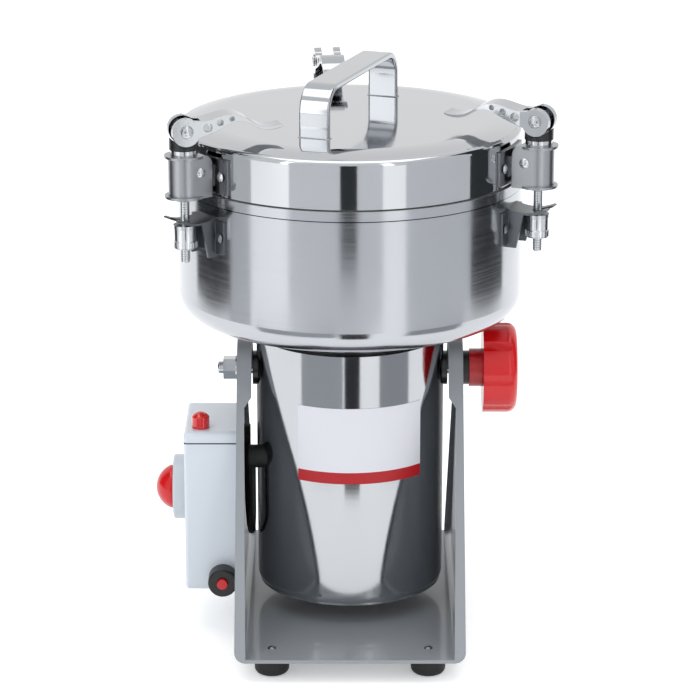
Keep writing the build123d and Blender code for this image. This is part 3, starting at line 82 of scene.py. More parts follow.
def colour(hex_code):
    """Linear RGBA for a screen colour such as 8A8D92."""
    channels = [int(hex_code[i:i + 2], 16) / 255 for i in (0, 2, 4)]
    linear = [c / SRGB_TOE_SLOPE if c <= SRGB_TOE
              else ((c + SRGB_OFFSET) / (1 + SRGB_OFFSET)) ** SRGB_POWER for c in channels]
    return (*linear, 1.0)


def add_node(tree, kind, settings=None, inputs=None):
    """Adds a shader node. An input is given a value, or another node's output to link."""
    made = tree.nodes.new(kind)
    for name, value in (settings or {}).items():
        setattr(made, name, value)
    for socket, value in (inputs or {}).items():
        if isinstance(value, bpy.types.NodeSocket):
            tree.links.new(value, made.inputs[socket])
        else:
            made.inputs[socket].default_value = value
    return made


def blank_material(name):
    """A new material with an empty node tree."""
    material = bpy.data.materials.new(name)
    material.use_nodes = True
    material.node_tree.nodes.clear()
    return material, material.node_tree


def paint(obj, material):
    """Puts one material on the whole object."""
    obj.data.materials.clear()
    obj.data.materials.append(material)


def select_only(obj):
    """Makes the object the only one that operators act on."""
    bpy.ops.object.select_all(action="DESELECT")
    obj.select_set(True)
    bpy.context.view_layer.objects.active = obj


# %% [markdown]
# ## Camera
# The photograph was taken from about two and a half metres with a long lens, looking slightly
# down. A long lens keeps the bowl's ellipses flat, so the lens is matched before anything else.

# %% Camera
CAMERA_PLACE = (0.0, -2.484, 1.0047)
CAMERA_PITCH = 17.24
SENSOR = 36.0
FOCAL_PIXELS = 3158
IMAGE_SIZE = 700

bpy.ops.object.camera_add(location=CAMERA_PLACE, rotation=(math.radians(90 - CAMERA_PITCH), 0, 0))
camera = bpy.context.object
camera.data.sensor_width = SENSOR
camera.data.lens = FOCAL_PIXELS * SENSOR / IMAGE_SIZE
bpy.context.scene.camera = camera
bpy.context.scene.view_settings.view_transform = "Standard"
print("lens", round(camera.data.lens, 2))

# %% [markdown]
# ## Motor lead
# A short rubber lead carries power from the arm's gland to the barrel's gland, and hangs in a
# slack loop so that the barrel can swing. It could be a swept mesh, but a NURBS curve through a
# few points bends as a lead does. Its line is read into a mesh while the curve is still thin.
# Then it is made a mesh.

# %% Motor lead
LEAD_RADIUS = 2.5 * MM
LEAD_ROUTE_MM = [(-86.5, 27, 151), (-86.5, 27, 124), (-86.5, 28.5, 90), (-83.25, 0, 73),
                 (-80, -28.5, 90), (-80, -27, 124), (-80, -27, 151)]

lead_curve = bpy.data.curves.new("motor_lead_cable", "CURVE")
lead_curve.dimensions = "3D"
lead_curve.resolution_u = 16
lead_line = lead_curve.splines.new("NURBS")
lead_line.points.add(len(LEAD_ROUTE_MM) - 1)
for point, place in zip(lead_line.points, LEAD_ROUTE_MM):
    point.co = (place[0] * MM, place[1] * MM, place[2] * MM, 1.0)
lead_line.order_u = 3
lead_line.use_endpoint_u = True
lead = bpy.data.objects.new("motor_lead_cable", lead_curve)
bpy.context.collection.objects.link(lead)
bpy.context.view_layer.update()
thin_line = bpy.data.meshes.new_from_object(lead)
lead_curve.bevel_depth = LEAD_RADIUS
lead_curve.bevel_resolution = 4
lead_curve.use_fill_caps = True
select_only(lead)
bpy.ops.object.convert(target="MESH")
lead = bpy.context.object
bpy.ops.object.shade_smooth()
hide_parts("motor_lead")
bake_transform(lead)


# %% [markdown]
# ## Stainless steel
# Bowl, lid and barrel are spun or rolled stainless sheet, polished and then handled. Such steel
# is almost a mirror: its look is what it reflects, blurred by fine lines left by the polishing.
# A brushed texture image could do it, but stretched noise in object coordinates follows the
# turning direction of each piece with no seam. The lines are really 0.1 mm apart, too fine for
# a render at 0.8 mm a pixel, so they are drawn about 1.2 mm apart. Below its rim band the bowl
# has a painted shadow, with a little polish residue: a dark line at one height.

# %% Stainless steel
LINE_GAP = 1.2 * MM
SMUDGE_SIZE = 45 * MM
BEVEL_SAMPLES = 4
# The two noises are near 0.5 each. The middle of their sum's range drives the roughness.
NOISE_SUM_LOW, NOISE_SUM_HIGH = 0.7, 1.3
# Colour of the painted shadow under the bowl's rim band.
RIM_SHADOW_COLOUR = "2A2A2B"


def stainless(name, hex_code, roughness, smudge, stretch, relief, edge=0.0, shadow_line=None):
    """Polished steel with fine lines and faint smudges. Stretch is waves per metre on each axis,
    edge rounds the corners by that radius, and shadow_line is the height and width of a dark
    line of painted shadow."""
    material, tree = blank_material(name)
    place = add_node(tree, "ShaderNodeTexCoord")
    across = add_node(tree, "ShaderNodeMapping",
                      inputs={"Vector": place.outputs["Object"], "Scale": stretch})
    lines = add_node(tree, "ShaderNodeTexNoise",
                     inputs={"Vector": across.outputs["Vector"], "Scale": 1.0, "Detail": 3.0})
    cloud = add_node(tree, "ShaderNodeTexNoise", inputs={
        "Vector": place.outputs["Object"], "Scale": 1 / SMUDGE_SIZE, "Detail": 2.0})
    both = add_node(tree, "ShaderNodeMath", {"operation": "ADD"},
                    {0: lines.outputs["Fac"], 1: cloud.outputs["Fac"]})
    rough = add_node(tree, "ShaderNodeMapRange", inputs={
        "Value": both.outputs["Value"], "From Min": NOISE_SUM_LOW, "From Max": NOISE_SUM_HIGH,
        "To Min": roughness - smudge, "To Max": roughness + smudge})
    bump = add_node(tree, "ShaderNodeBump",
                    inputs={"Height": lines.outputs["Fac"], "Strength": 0.3, "Distance": relief})
    if edge:
        soft = add_node(tree, "ShaderNodeBevel", {"samples": BEVEL_SAMPLES}, {"Radius": edge})
        tree.links.new(soft.outputs["Normal"], bump.inputs["Normal"])
    shader = add_node(tree, "ShaderNodeBsdfPrincipled", inputs={
        "Base Color": colour(hex_code), "Metallic": 1.0, "Roughness": rough.outputs["Result"],
        "Normal": bump.outputs["Normal"]})
    # A dark line at one height paints the shadow under the bowl's rim band.
    if shadow_line:
        height, width = shadow_line
        parts = add_node(tree, "ShaderNodeSeparateXYZ", inputs={"Vector": place.outputs["Object"]})
        inside = add_node(tree, "ShaderNodeMath", {"operation": "COMPARE"},
                          {0: parts.outputs["Z"], 1: height, 2: width / 2})
        shade = add_node(tree, "ShaderNodeMix", {"data_type": "RGBA"}, {
            MIX_FACTOR: inside.outputs["Value"], MIX_LOW_COLOUR: colour(hex_code),
            MIX_HIGH_COLOUR: colour(RIM_SHADOW_COLOUR)})
        tree.links.new(shade.outputs[MIX_COLOUR_OUT], shader.inputs["Base Color"])
    add_node(tree, "ShaderNodeOutputMaterial", inputs={"Surface": shader.outputs["BSDF"]})
    return material


ACROSS = 1 / LINE_GAP
ROUND_LINES = (5, 5, ACROSS)
UPRIGHT_LINES = (ACROSS, ACROSS, 20)
ALL_WAYS = (ACROSS, ACROSS, ACROSS)
SLOW_WAVES = (12, 12, 12)
BLADE_LINES = (900, 60, 900)
# Height and width of the painted shadow line under the bowl's rim band.
RIM_SHADOW_LINE = (379.7 * MM, 1.0 * MM)
steel_bowl = stainless("stainless_bowl_polished", "B4B6BA", 0.15, 0.04, ROUND_LINES, 0.004 * MM,
                       shadow_line=RIM_SHADOW_LINE)
steel_lid = stainless("stainless_lid_mirror", "BCBEC1", 0.07, 0.02, SLOW_WAVES, 0.002 * MM)
steel_barrel = stainless("stainless_barrel_polished", "B4B6B9", 0.11, 0.03, ROUND_LINES,
                         0.003 * MM)
steel_blade = stainless("stainless_blade_ground", "C2C3C4", 0.24, 0.05, BLADE_LINES, 0.006 * MM)
print("stainless finishes made")

# %% [markdown]
# ## Plated steel
# Clamp brackets are pressed from sheet and satin plated, so they blur what they reflect. Screws
# and rods are zinc plated, and rivets are polished or worn. The handle and the levers are chrome
# plated and nearly mirrors. Pressed sheet has rounded edges that catch light. Bevelled meshes
# could show them, but the Bevel node does so without new faces.

# %% Plated steel
SHEET_EDGE = 0.6 * MM
FASTENER_EDGE = 0.3 * MM
plate_satin = stainless("plated_bracket_satin", "A2A4A7", 0.30, 0.02, UPRIGHT_LINES, 0.002 * MM,
                        SHEET_EDGE)
plate_dark = stainless("plated_fork_dark", "6C6F72", 0.32, 0.03, UPRIGHT_LINES, 0.003 * MM,
                       SHEET_EDGE)
plate_lid = stainless("plated_lid_bracket", "808285", 0.28, 0.03, UPRIGHT_LINES, 0.003 * MM,
                      SHEET_EDGE)
zinc = stainless("zinc_plated_fastener", "C6C8CA", 0.19, 0.03, ALL_WAYS, 0.005 * MM,
                 FASTENER_EDGE)
chrome = stainless("chrome_plated", "B2B5B8", 0.07, 0.02, ALL_WAYS, 0.001 * MM, SHEET_EDGE)
nut_chrome = stainless("nut_bright_plated", "D9DBDD", 0.16, 0.03, ALL_WAYS, 0.002 * MM)
rivet_bright = stainless("rivet_polished", "C9CBCD", 0.20, 0.03, ALL_WAYS, 0.003 * MM)
rivet_steel = stainless("rivet_worn", "7A7C7F", 0.30, 0.06, ALL_WAYS, 0.006 * MM)
alloy_cast = stainless("aluminium_cast", "A8AAAC", 0.45, 0.06, ALL_WAYS, 0.02 * MM, SHEET_EDGE)
print("plated finishes made")


# %% [markdown]
# ## Enamel, plastic and rubber
# The frame is sprayed with a grey enamel and the box with a pale one; both are smooth and
# glossy. Knobs are moulded ABS; feet, glands and lead are as dull as rubber. All are one colour
# with a skin over it. Each could have its own node tree, but one function serves them all: a
# shade that drifts slightly, a fine grain in the skin, and a clear coat where the real one has
# one. The iron, copper and carbon of the motor are hidden inside, and use the same function.

# %% Enamel, plastic and rubber
SHADE_DRIFT = 60 * MM
MOULDED_EDGE = 0.5 * MM
NOISE_LOW, NOISE_HIGH = 0.3, 0.7
PLASTIC_IOR = 1.5
COAT_ROUGHNESS = 0.06


def coated(name, hex_code, roughness, grain_gap, relief, coat=0.0, drift=0.05, dull=0.12):
    """A coloured skin with a fine grain, grain_gap apart, and an optional clear coat. Drift and
    dull are the shares by which the shade and the roughness vary."""
    material, tree = blank_material(name)
    place = add_node(tree, "ShaderNodeTexCoord")
    grain = add_node(tree, "ShaderNodeTexNoise", inputs={
        "Vector": place.outputs["Object"], "Scale": 1 / grain_gap, "Detail": 2.0})
    cloud = add_node(tree, "ShaderNodeTexNoise", inputs={
        "Vector": place.outputs["Object"], "Scale": 1 / SHADE_DRIFT, "Detail": 2.0})
    base = colour(hex_code)[:3]
    shade = add_node(tree, "ShaderNodeMix", {"data_type": "RGBA"}, {
        MIX_FACTOR: cloud.outputs["Fac"],
        MIX_LOW_COLOUR: (*[c * (1 - drift) for c in base], 1.0),
        MIX_HIGH_COLOUR: (*[min(1.0, c * (1 + drift)) for c in base], 1.0)})
    rough = add_node(tree, "ShaderNodeMapRange", inputs={
        "Value": grain.outputs["Fac"], "From Min": NOISE_LOW, "From Max": NOISE_HIGH,
        "To Min": roughness * (1 - dull), "To Max": roughness * (1 + dull)})
    soft = add_node(tree, "ShaderNodeBevel", {"samples": BEVEL_SAMPLES}, {"Radius": MOULDED_EDGE})
    bump = add_node(tree, "ShaderNodeBump", inputs={
        "Height": grain.outputs["Fac"], "Strength": 0.25, "Distance": relief,
        "Normal": soft.outputs["Normal"]})
    shader = add_node(tree, "ShaderNodeBsdfPrincipled", inputs={
        "Base Color": shade.outputs[MIX_COLOUR_OUT], "Metallic": 0.0,
        "Roughness": rough.outputs["Result"], "IOR": PLASTIC_IOR, "Coat Weight": coat,
        "Coat Roughness": COAT_ROUGHNESS, "Normal": bump.outputs["Normal"]})
    add_node(tree, "ShaderNodeOutputMaterial", inputs={"Surface": shader.outputs["BSDF"]})
    return material


enamel_frame = coated("enamel_frame_grey", "8E9297", 0.34, 1.0 * MM, 0.001 * MM, 0.4, 0.02, 0.02)
enamel_box = coated("enamel_box_pale", "D2D9E1", 0.30, 1.0 * MM, 0.001 * MM, 0.4, 0.01, 0.02)
abs_red = coated("abs_moulded_red", "CC0009", 0.24, 1.5 * MM, 0.004 * MM, 0.15)
abs_black = coated("abs_moulded_black", "0B0B0C", 0.34, 1.0 * MM, 0.01 * MM)
dial_plate = coated("dial_plate_pale", "C5CBD2", 0.33, 1.0 * MM, 0.006 * MM)
lens_red = coated("acrylic_lamp_red", "C8100C", 0.12, 2.0 * MM, 0.002 * MM, 0.8)
enamel_black = coated("enamel_black", "0F1012", 0.30, 1.2 * MM, 0.01 * MM, 0.3)
rubber_black = coated("rubber_black", "0C0C0C", 0.60, 0.8 * MM, 0.03 * MM)
rubber_pale = coated("silicone_pale", "D6D5CF", 0.50, 0.9 * MM, 0.02 * MM)
iron_core = coated("iron_laminated", "4E5054", 0.45, 0.9 * MM, 0.02 * MM)
copper_wire = coated("copper_enamelled", "8A4A22", 0.33, 0.8 * MM, 0.05 * MM)
carbon_grey = coated("carbon_pressed", "282829", 0.55, 0.8 * MM, 0.02 * MM)
print("coated finishes made")


# %% [markdown]
# ## Two finishes that change with height
# The barrel's label is a plain white card with a red band along its lower edge. Each clamp's cup
# is black plastic on a polished ring. Both could be cut into separate meshes, but the line
# between the two parts is level, so the material picks the finish by height.

# %% Label and clamp cups
SPLIT_GRAIN = 1.2 * MM
SPLIT_RELIEF = 0.005 * MM
RED_BAND_TOP = 153.7 * MM
CUP_RING_TOP = 427.5 * MM


def split_by_height(name, line_z, low, high):
    """A finish below a level line and another above it, each (hex, metallic, roughness)."""
    material, tree = blank_material(name)
    place = add_node(tree, "ShaderNodeTexCoord")
    parts = add_node(tree, "ShaderNodeSeparateXYZ", inputs={"Vector": place.outputs["Object"]})
    above = add_node(tree, "ShaderNodeMath", {"operation": "GREATER_THAN"},
                     {0: parts.outputs["Z"], 1: line_z})
    grain = add_node(tree, "ShaderNodeTexNoise", inputs={
        "Vector": place.outputs["Object"], "Scale": 1 / SPLIT_GRAIN, "Detail": 2.0})
    shade = add_node(tree, "ShaderNodeMix", {"data_type": "RGBA"}, {
        MIX_FACTOR: above.outputs["Value"], MIX_LOW_COLOUR: colour(low[0]),
        MIX_HIGH_COLOUR: colour(high[0])})
    metal, rough = [
        add_node(tree, "ShaderNodeMix", {"data_type": "FLOAT"}, {
            MIX_FACTOR: above.outputs["Value"], MIX_LOW_VALUE: below_line,
            MIX_HIGH_VALUE: above_line})
        for below_line, above_line in zip(low[1:], high[1:])]
    bump = add_node(tree, "ShaderNodeBump", inputs={
        "Height": grain.outputs["Fac"], "Strength": 0.2, "Distance": SPLIT_RELIEF})
    shader = add_node(tree, "ShaderNodeBsdfPrincipled", inputs={
        "Base Color": shade.outputs[MIX_COLOUR_OUT], "Metallic": metal.outputs[MIX_VALUE_OUT],
        "Roughness": rough.outputs[MIX_VALUE_OUT], "Normal": bump.outputs["Normal"]})
    add_node(tree, "ShaderNodeOutputMaterial", inputs={"Surface": shader.outputs["BSDF"]})
    return material


label_card = split_by_height("card_label_banded", RED_BAND_TOP,
                             ("AE0714", 0.0, 0.45), ("DCDCE3", 0.0, 0.5))
cup_finish = split_by_height("cup_on_steel_ring", CUP_RING_TOP,
                             ("C9CBCD", 1.0, 0.16), ("17181A", 0.0, 0.30))
print("label and cup finishes made")

# %% [markdown]
# ## The finish of each node
# On the real grinder each piece is plated, sprayed or moulded before it is put together, so each
# CAD node has one finish all over. The finishes could be set node by node; listed by finish, they
# show what is made of what, and the count shows that no node is left out.

# %% Give each CAD node its finish
NODE_FINISHES = {
    enamel_frame: ["base_frame"],
    enamel_box: ["control_box", "control_box_cover"],
    dial_plate: ["timer_dial"],
    abs_red: ["timer_knob", "reset_button", "lock_knob"],
    lens_red: ["indicator_lamp"],
    abs_black: ["timer_unit", "reset_breaker", "arm_bushes", "lock_washer", "cooling_fan"],
    rubber_black: ["feet", "cable_glands", "barrel_gland", "motor_lead", "shaft_seal"],
    rubber_pale: ["lid_gasket"],
    steel_bowl: ["bowl"],
    steel_lid: ["lid"],
    steel_barrel: ["motor_housing"],
    plate_dark: ["bowl_brackets"],
    plate_lid: ["lid_brackets"],
    plate_satin: ["clamp_housing_rear", "clamp_housing_left", "clamp_housing_right"],
    zinc: ["trunnion_stud", "trunnion_fasteners", "lock_screw", "motor_shaft", "bearings",
           "blade_fasteners", "clamp_screw_rear", "clamp_screw_left", "clamp_screw_right"],
    rivet_steel: ["frame_screws", "motor_screws", "bowl_rivets"],
    rivet_bright: ["lid_rivets"],
    steel_blade: ["grinding_blades"],
    chrome: ["handle", "cam_lever_rear", "cam_lever_left", "cam_lever_right"],
    enamel_black: ["bottom_cover", "upper_end_shield", "trunnion_bosses"],
    alloy_cast: ["lower_end_shield"],
    iron_core: ["stator_core", "armature"],
    copper_wire: ["field_windings", "commutator", "brush_holders"],
    carbon_grey: ["carbon_brushes"],
    label_card: ["rating_label"],
    cup_finish: ["clamp_cup_rear", "clamp_cup_left", "clamp_cup_right"],
}
for finish, names in NODE_FINISHES.items():
    for name in names:
        paint(nodes[name], finish)
paint(lead, rubber_black)
painted = {name for names in NODE_FINISHES.values() for name in names}
print("painted", len(painted), "nodes, left over", sorted(set(nodes) - painted))


# %% [markdown]
# ## Helpers for the small pieces
# Each small piece starts as a primitive at the origin, is shaped there, and is then turned and
# carried to its place. Its place is applied to the mesh, as a CAD node's is. Faces are picked by
# where they are and which way they look, so no step depends on the order of a mesh's faces.

# %% Place and finish a piece
SMOOTH_ANGLE = math.radians(35)


def settle(piece, place, turn=(0.0, 0.0, 0.0)):
    """Turns the piece, carries it to its place and applies both to its mesh."""
    select_only(piece)
    piece.rotation_euler = turn
    piece.location = place
    bpy.ops.object.transform_apply(location=True, rotation=True, scale=True)


def finish_piece(piece, name, body, finish):
    """Names the piece, smooths it, gives it its finish and joins it to a body."""
    piece.name = name
    piece.data.name = name
    select_only(piece)
    bpy.ops.object.shade_smooth_by_angle(angle=SMOOTH_ANGLE)
    paint(piece, finish)
    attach(piece, body)


def copy_piece(piece):
    """A copy of the piece with its own mesh."""
    twin = piece.copy()
    twin.data = piece.data.copy()
    bpy.context.collection.objects.link(twin)
    return twin


def block(size):
    """A box of the given size about the origin, with its scale applied."""
    bpy.ops.mesh.primitive_cube_add(size=1, scale=size)
    bpy.ops.object.transform_apply(location=False, rotation=False, scale=True)
    return bpy.context.object


def choose_all():
    """Opens the active piece in edit mode with everything selected."""
    bpy.ops.object.mode_set(mode="EDIT")
    bpy.ops.mesh.select_all(action="SELECT")


def choose_faces(piece, test):
    """Selects, in edit mode, the faces whose centre and normal pass the test."""
    bpy.ops.object.mode_set(mode="EDIT")
    bpy.ops.mesh.select_mode(type="FACE")
    bpy.ops.mesh.select_all(action="DESELECT")
    bpy.ops.object.mode_set(mode="OBJECT")
    for face in piece.data.polygons:
        face.select = test(face.center, face.normal)
    bpy.ops.object.mode_set(mode="EDIT")


def looks_up(centre, normal):
    """Passes the faces that look straight up."""
    return normal.z > 0.9


def rod_place(angle_deg, height):
    """The point on a clamp's rod axis at a height."""
    angle = math.radians(angle_deg)
    return (ROD_REACH * math.cos(angle), ROD_REACH * math.sin(angle), height)


print("helpers ready")

# %% [markdown]
# ## Screw threads
# The clamp rods and the left trunnion stud are threaded bolts. A thread could be a bump on a
# plain rod, but it shows in outline, so a small triangle is wound into a helix by the Screw
# modifier. A real M8 thread climbs 1.25 mm a turn; 2 mm is drawn, to show at 0.8 mm a pixel.

# %% Screw threads
THREAD_PITCH = 2.0 * MM
THREAD_TOOTH = 0.5 * MM
THREAD_STEPS = 20


def wound_thread(root_radius, length):
    """A helical ridge about Z, standing on the origin's level."""
    bpy.ops.mesh.primitive_circle_add(vertices=3, radius=THREAD_TOOTH, fill_type="NOTHING",
                                      rotation=(math.pi / 2, math.pi / 2, 0))
    piece = bpy.context.object
    bpy.ops.object.transform_apply(location=False, rotation=True, scale=False)
    choose_all()
    bpy.ops.transform.translate(value=(root_radius, 0, THREAD_TOOTH))
    bpy.ops.object.mode_set(mode="OBJECT")
    bpy.ops.object.modifier_add(type="SCREW")
    screw = piece.modifiers[-1]
    screw.screw_offset = THREAD_PITCH
    screw.iterations = int((length - 2 * THREAD_TOOTH) / THREAD_PITCH)
    screw.steps = THREAD_STEPS
    screw.render_steps = THREAD_STEPS
    screw.use_merge_vertices = True
    bpy.ops.object.modifier_apply(modifier=screw.name)
    choose_all()
    bpy.ops.mesh.fill_holes(sides=3)
    bpy.ops.mesh.select_all(action="SELECT")
    bpy.ops.mesh.normals_make_consistent(inside=False)
    bpy.ops.object.mode_set(mode="OBJECT")
    return piece


ROD_ROOT_RADIUS = 3.4 * MM
ROD_THREAD_LOW = 337.5 * MM
ROD_THREAD_LENGTH = 50 * MM
STUD_ROOT_RADIUS = 4.9 * MM
STUD_THREAD_LENGTH = 4.6 * MM
STUD_THREAD_X = -104.4 * MM
rod_thread = wound_thread(ROD_ROOT_RADIUS, ROD_THREAD_LENGTH)
for side, (angle_deg, _) in CLAMPS.items():
    thread = copy_piece(rod_thread)
    settle(thread, rod_place(angle_deg, ROD_THREAD_LOW))
    finish_piece(thread, f"rod_thread_{side}", f"clamp_{side}", zinc)
bpy.data.objects.remove(rod_thread)
stud_thread = wound_thread(STUD_ROOT_RADIUS, STUD_THREAD_LENGTH)
settle(stud_thread, (STUD_THREAD_X, 0, TRUNNION_Z), (0, -math.pi / 2, 0))
finish_piece(stud_thread, "stud_thread", "frame", zinc)
print("thread faces", len(stud_thread.data.polygons))

# %% [markdown]
# ## Lever pins
# Each cam lever turns on a pin whose round heads show at both sides of its eye, with a socket in
# the middle. A flat disc could stand for it, but the rim and the socket catch the light. The head
# starts as a cylinder: its rim is bevelled, and its face is inset to the socket's width and then
# pressed in. The socket is drawn round, because corners would not show at 0.8 mm a pixel.

# %% Lever pin heads
PIN_HEAD_RADIUS = 5.0 * MM
PIN_HEAD_LENGTH = 1.2 * MM
PIN_HEAD_OUT = 11.6 * MM
PIN_HEAD_BEVEL = 0.35 * MM
PIN_HEAD_SIDES = 30
SOCKET_RADIUS = 2.2 * MM
SOCKET_DEPTH = 0.8 * MM
SOCKET_SLOPE = 0.15 * MM

bpy.ops.mesh.primitive_cylinder_add(vertices=PIN_HEAD_SIDES, radius=PIN_HEAD_RADIUS,
                                    depth=PIN_HEAD_LENGTH, end_fill_type="NGON")
pin_head = bpy.context.object
choose_faces(pin_head, looks_up)
bpy.ops.mesh.bevel(offset=PIN_HEAD_BEVEL, segments=2, affect="EDGES")
# Only the flat face now looks exactly up. The bevel's faces lean.
choose_faces(pin_head, lambda centre, normal: normal.z > 0.99)
bpy.ops.mesh.inset(thickness=PIN_HEAD_RADIUS - PIN_HEAD_BEVEL - SOCKET_RADIUS, depth=0)
bpy.ops.mesh.inset(thickness=SOCKET_SLOPE, depth=-SOCKET_DEPTH)
bpy.ops.object.mode_set(mode="OBJECT")
for side, (angle_deg, turn_deg) in CLAMPS.items():
    for word, way in (("one", 1), ("two", -1)):
        head = copy_piece(pin_head)
        across = math.radians(angle_deg + turn_deg + 90 * way)
        x, y, z = rod_place(angle_deg, PIN_Z)
        settle(head, (x + PIN_HEAD_OUT * math.cos(across), y + PIN_HEAD_OUT * math.sin(across), z),
               (0, math.pi / 2, across))
        finish_piece(head, f"pin_head_{side}_{word}", f"lever_{side}", chrome)
bpy.data.objects.remove(pin_head)
print("pin heads made")

# %% [markdown]
# ## Adjusting nuts
# The nut below each fork bracket is a bright round sleeve with a wider knurled band at its foot,
# which fingers grip. A bump would not show in its outline, so the sleeve is cut in two levels,
# the lower one is drawn outwards, and every other face of it is pressed in.

# %% Adjusting nuts
NUT_LOW = 348.8 * MM
NUT_HEIGHT = 17.4 * MM
NUT_RADIUS = 8.9 * MM
NUT_TOP_BEVEL = 0.7 * MM
NUT_BAND_HEIGHT = 5.5 * MM
NUT_BAND_OUT = 0.6 * MM
NUT_BAND_SLOPE = 0.3 * MM
KNURL_FACES = 48
KNURL_RIDGE = 0.15 * MM
KNURL_DEPTH = 0.45 * MM


def in_band(centre, normal):
    """Passes the upright faces of the lower level."""
    return abs(normal.z) < 0.5 and centre.z < NUT_BAND_HEIGHT


def in_knurl(centre, normal):
    """Passes every other upright face of the band, once it stands out."""
    stands_out = math.hypot(centre.x, centre.y) > NUT_RADIUS + NUT_BAND_OUT / 2
    number = round((math.atan2(centre.y, centre.x) / math.tau) * KNURL_FACES - 0.5)
    return stands_out and abs(normal.z) < 0.3 and number % 2 == 0


bpy.ops.mesh.primitive_cylinder_add(vertices=KNURL_FACES, radius=NUT_RADIUS, depth=NUT_HEIGHT,
                                    location=(0, 0, NUT_HEIGHT / 2), end_fill_type="NGON")
nut = bpy.context.object
bpy.ops.object.transform_apply(location=True, rotation=False, scale=False)
choose_all()
bpy.ops.mesh.bisect(plane_co=(0, 0, NUT_BAND_HEIGHT), plane_no=(0, 0, 1))
choose_faces(nut, looks_up)
bpy.ops.mesh.bevel(offset=NUT_TOP_BEVEL, segments=3, affect="EDGES")
choose_faces(nut, in_band)
bpy.ops.mesh.inset(thickness=NUT_BAND_SLOPE, depth=NUT_BAND_OUT)
choose_faces(nut, in_knurl)
bpy.ops.mesh.inset(thickness=KNURL_RIDGE, depth=-KNURL_DEPTH, use_individual=True)
bpy.ops.object.mode_set(mode="OBJECT")
for side, (angle_deg, _) in CLAMPS.items():
    sleeve = copy_piece(nut)
    settle(sleeve, rod_place(angle_deg, NUT_LOW))
    finish_piece(sleeve, f"nut_sleeve_{side}", f"clamp_{side}", nut_chrome)
bpy.data.objects.remove(nut)
print("nut sleeves made")

# %% [markdown]
# ## Weld beads of the handle
# The strap handle stands on the lid on two feet, and a low bead of weld closes each joint. The
# bead could be a swept bump along the joint, but so low a one shows only as a bright line, so it
# starts as a block round the foot and its top edges are bevelled round.

# %% Weld beads
HANDLE_ANGLE = math.radians(70.0)
HANDLE_FOOT_OUT = 80.5 * MM
BEAD_SIZE = (5.8 * MM, 25.8 * MM, 0.7 * MM)
BEAD_BEVEL = 0.35 * MM

bead = block(BEAD_SIZE)
choose_faces(bead, looks_up)
bpy.ops.mesh.bevel(offset=BEAD_BEVEL, segments=4, affect="EDGES")
bpy.ops.object.mode_set(mode="OBJECT")
for word, way in (("front", -1), ("back", 1)):
    weld = copy_piece(bead)
    reach = HANDLE_FOOT_OUT * way
    settle(weld, (reach * math.cos(HANDLE_ANGLE), reach * math.sin(HANDLE_ANGLE),
                  LID_TOP_Z + BEAD_SIZE[2] / 2), (0, 0, HANDLE_ANGLE))
    finish_piece(weld, f"handle_weld_{word}", "lid", plate_satin)
bpy.data.objects.remove(bead)
print("weld beads made")

# %% [markdown]
# ## Dial ticks
# The timer's dial carries a ring of tick marks. Printed marks could be painted, but thin raised
# bars also stand up to a close view. One bar is shaped, copied round the dial and joined.

# %% Dial ticks
DIAL_FACE_X = -146.9 * MM
DIAL_Z = 115 * MM
TICK_SIZE = (0.4 * MM, 0.7 * MM, 3.0 * MM)
TICK_BEVEL = 0.12 * MM
TICK_RADIUS = 22.5 * MM
TICK_COUNT = 21
TICK_SWEEP = 300.0

tick = block(TICK_SIZE)
choose_faces(tick, lambda centre, normal: normal.x < -0.9)
bpy.ops.mesh.bevel(offset=TICK_BEVEL, segments=2, affect="EDGES")
bpy.ops.object.mode_set(mode="OBJECT")
ticks = []
for number in range(TICK_COUNT):
    turn = math.radians(TICK_SWEEP * (number / (TICK_COUNT - 1) - 0.5))
    mark = copy_piece(tick)
    settle(mark, (DIAL_FACE_X, TICK_RADIUS * math.sin(turn),
                  DIAL_Z + TICK_RADIUS * math.cos(turn)), (-turn, 0, 0))
    ticks.append(mark)
select_only(ticks[0])
for mark in ticks:
    mark.select_set(True)
bpy.ops.object.join()
finish_piece(ticks[0], "dial_ticks", "frame", abs_black)
bpy.data.objects.remove(tick)
print("ticks", TICK_COUNT)

# %% [markdown]
# ## Box seam
# A thin dark line of painted shade shows in the seam between the control box and its cover. It
# could be a line in the enamel, but it stands out a little and turns the corners, so it is a flat
# dark ring with the rubber finish. A block of the box's own width and depth is rounded where the
# box is, then opened in the middle.

# %% Box seam
SEAM_OUT = 0.2 * MM
SEAM_HEIGHT = 0.9 * MM
SEAM_WIDTH = 1.2 * MM
BOX_EDGE = 3 * MM
box_low, box_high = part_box("control_box")
seam_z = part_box("control_box_cover")[0][2]
seam_size = (box_high[0] - box_low[0] + SEAM_OUT, box_high[1] - box_low[1] + 2 * SEAM_OUT,
             SEAM_HEIGHT)
seam_middle = ((box_high[0] + box_low[0] - SEAM_OUT) / 2, (box_high[1] + box_low[1]) / 2, seam_z)

seam = block(seam_size)
bpy.ops.object.mode_set(mode="EDIT")
bpy.ops.mesh.select_mode(type="EDGE")
bpy.ops.mesh.select_all(action="DESELECT")
bpy.ops.object.mode_set(mode="OBJECT")
# Only the two upright edges on the left are rounded. The other two stand against the arm.
for edge in seam.data.edges:
    ends = [seam.data.vertices[i].co for i in edge.vertices]
    edge.select = abs(ends[0].z - ends[1].z) > SEAM_HEIGHT / 2 and ends[0].x < 0
bpy.ops.object.mode_set(mode="EDIT")
bpy.ops.mesh.bevel(offset=BOX_EDGE, segments=6, affect="EDGES")
choose_faces(seam, lambda centre, normal: abs(normal.z) > 0.9)
bpy.ops.mesh.inset(thickness=SEAM_WIDTH, depth=0)
bpy.ops.mesh.bridge_edge_loops()
bpy.ops.object.mode_set(mode="OBJECT")
settle(seam, seam_middle)
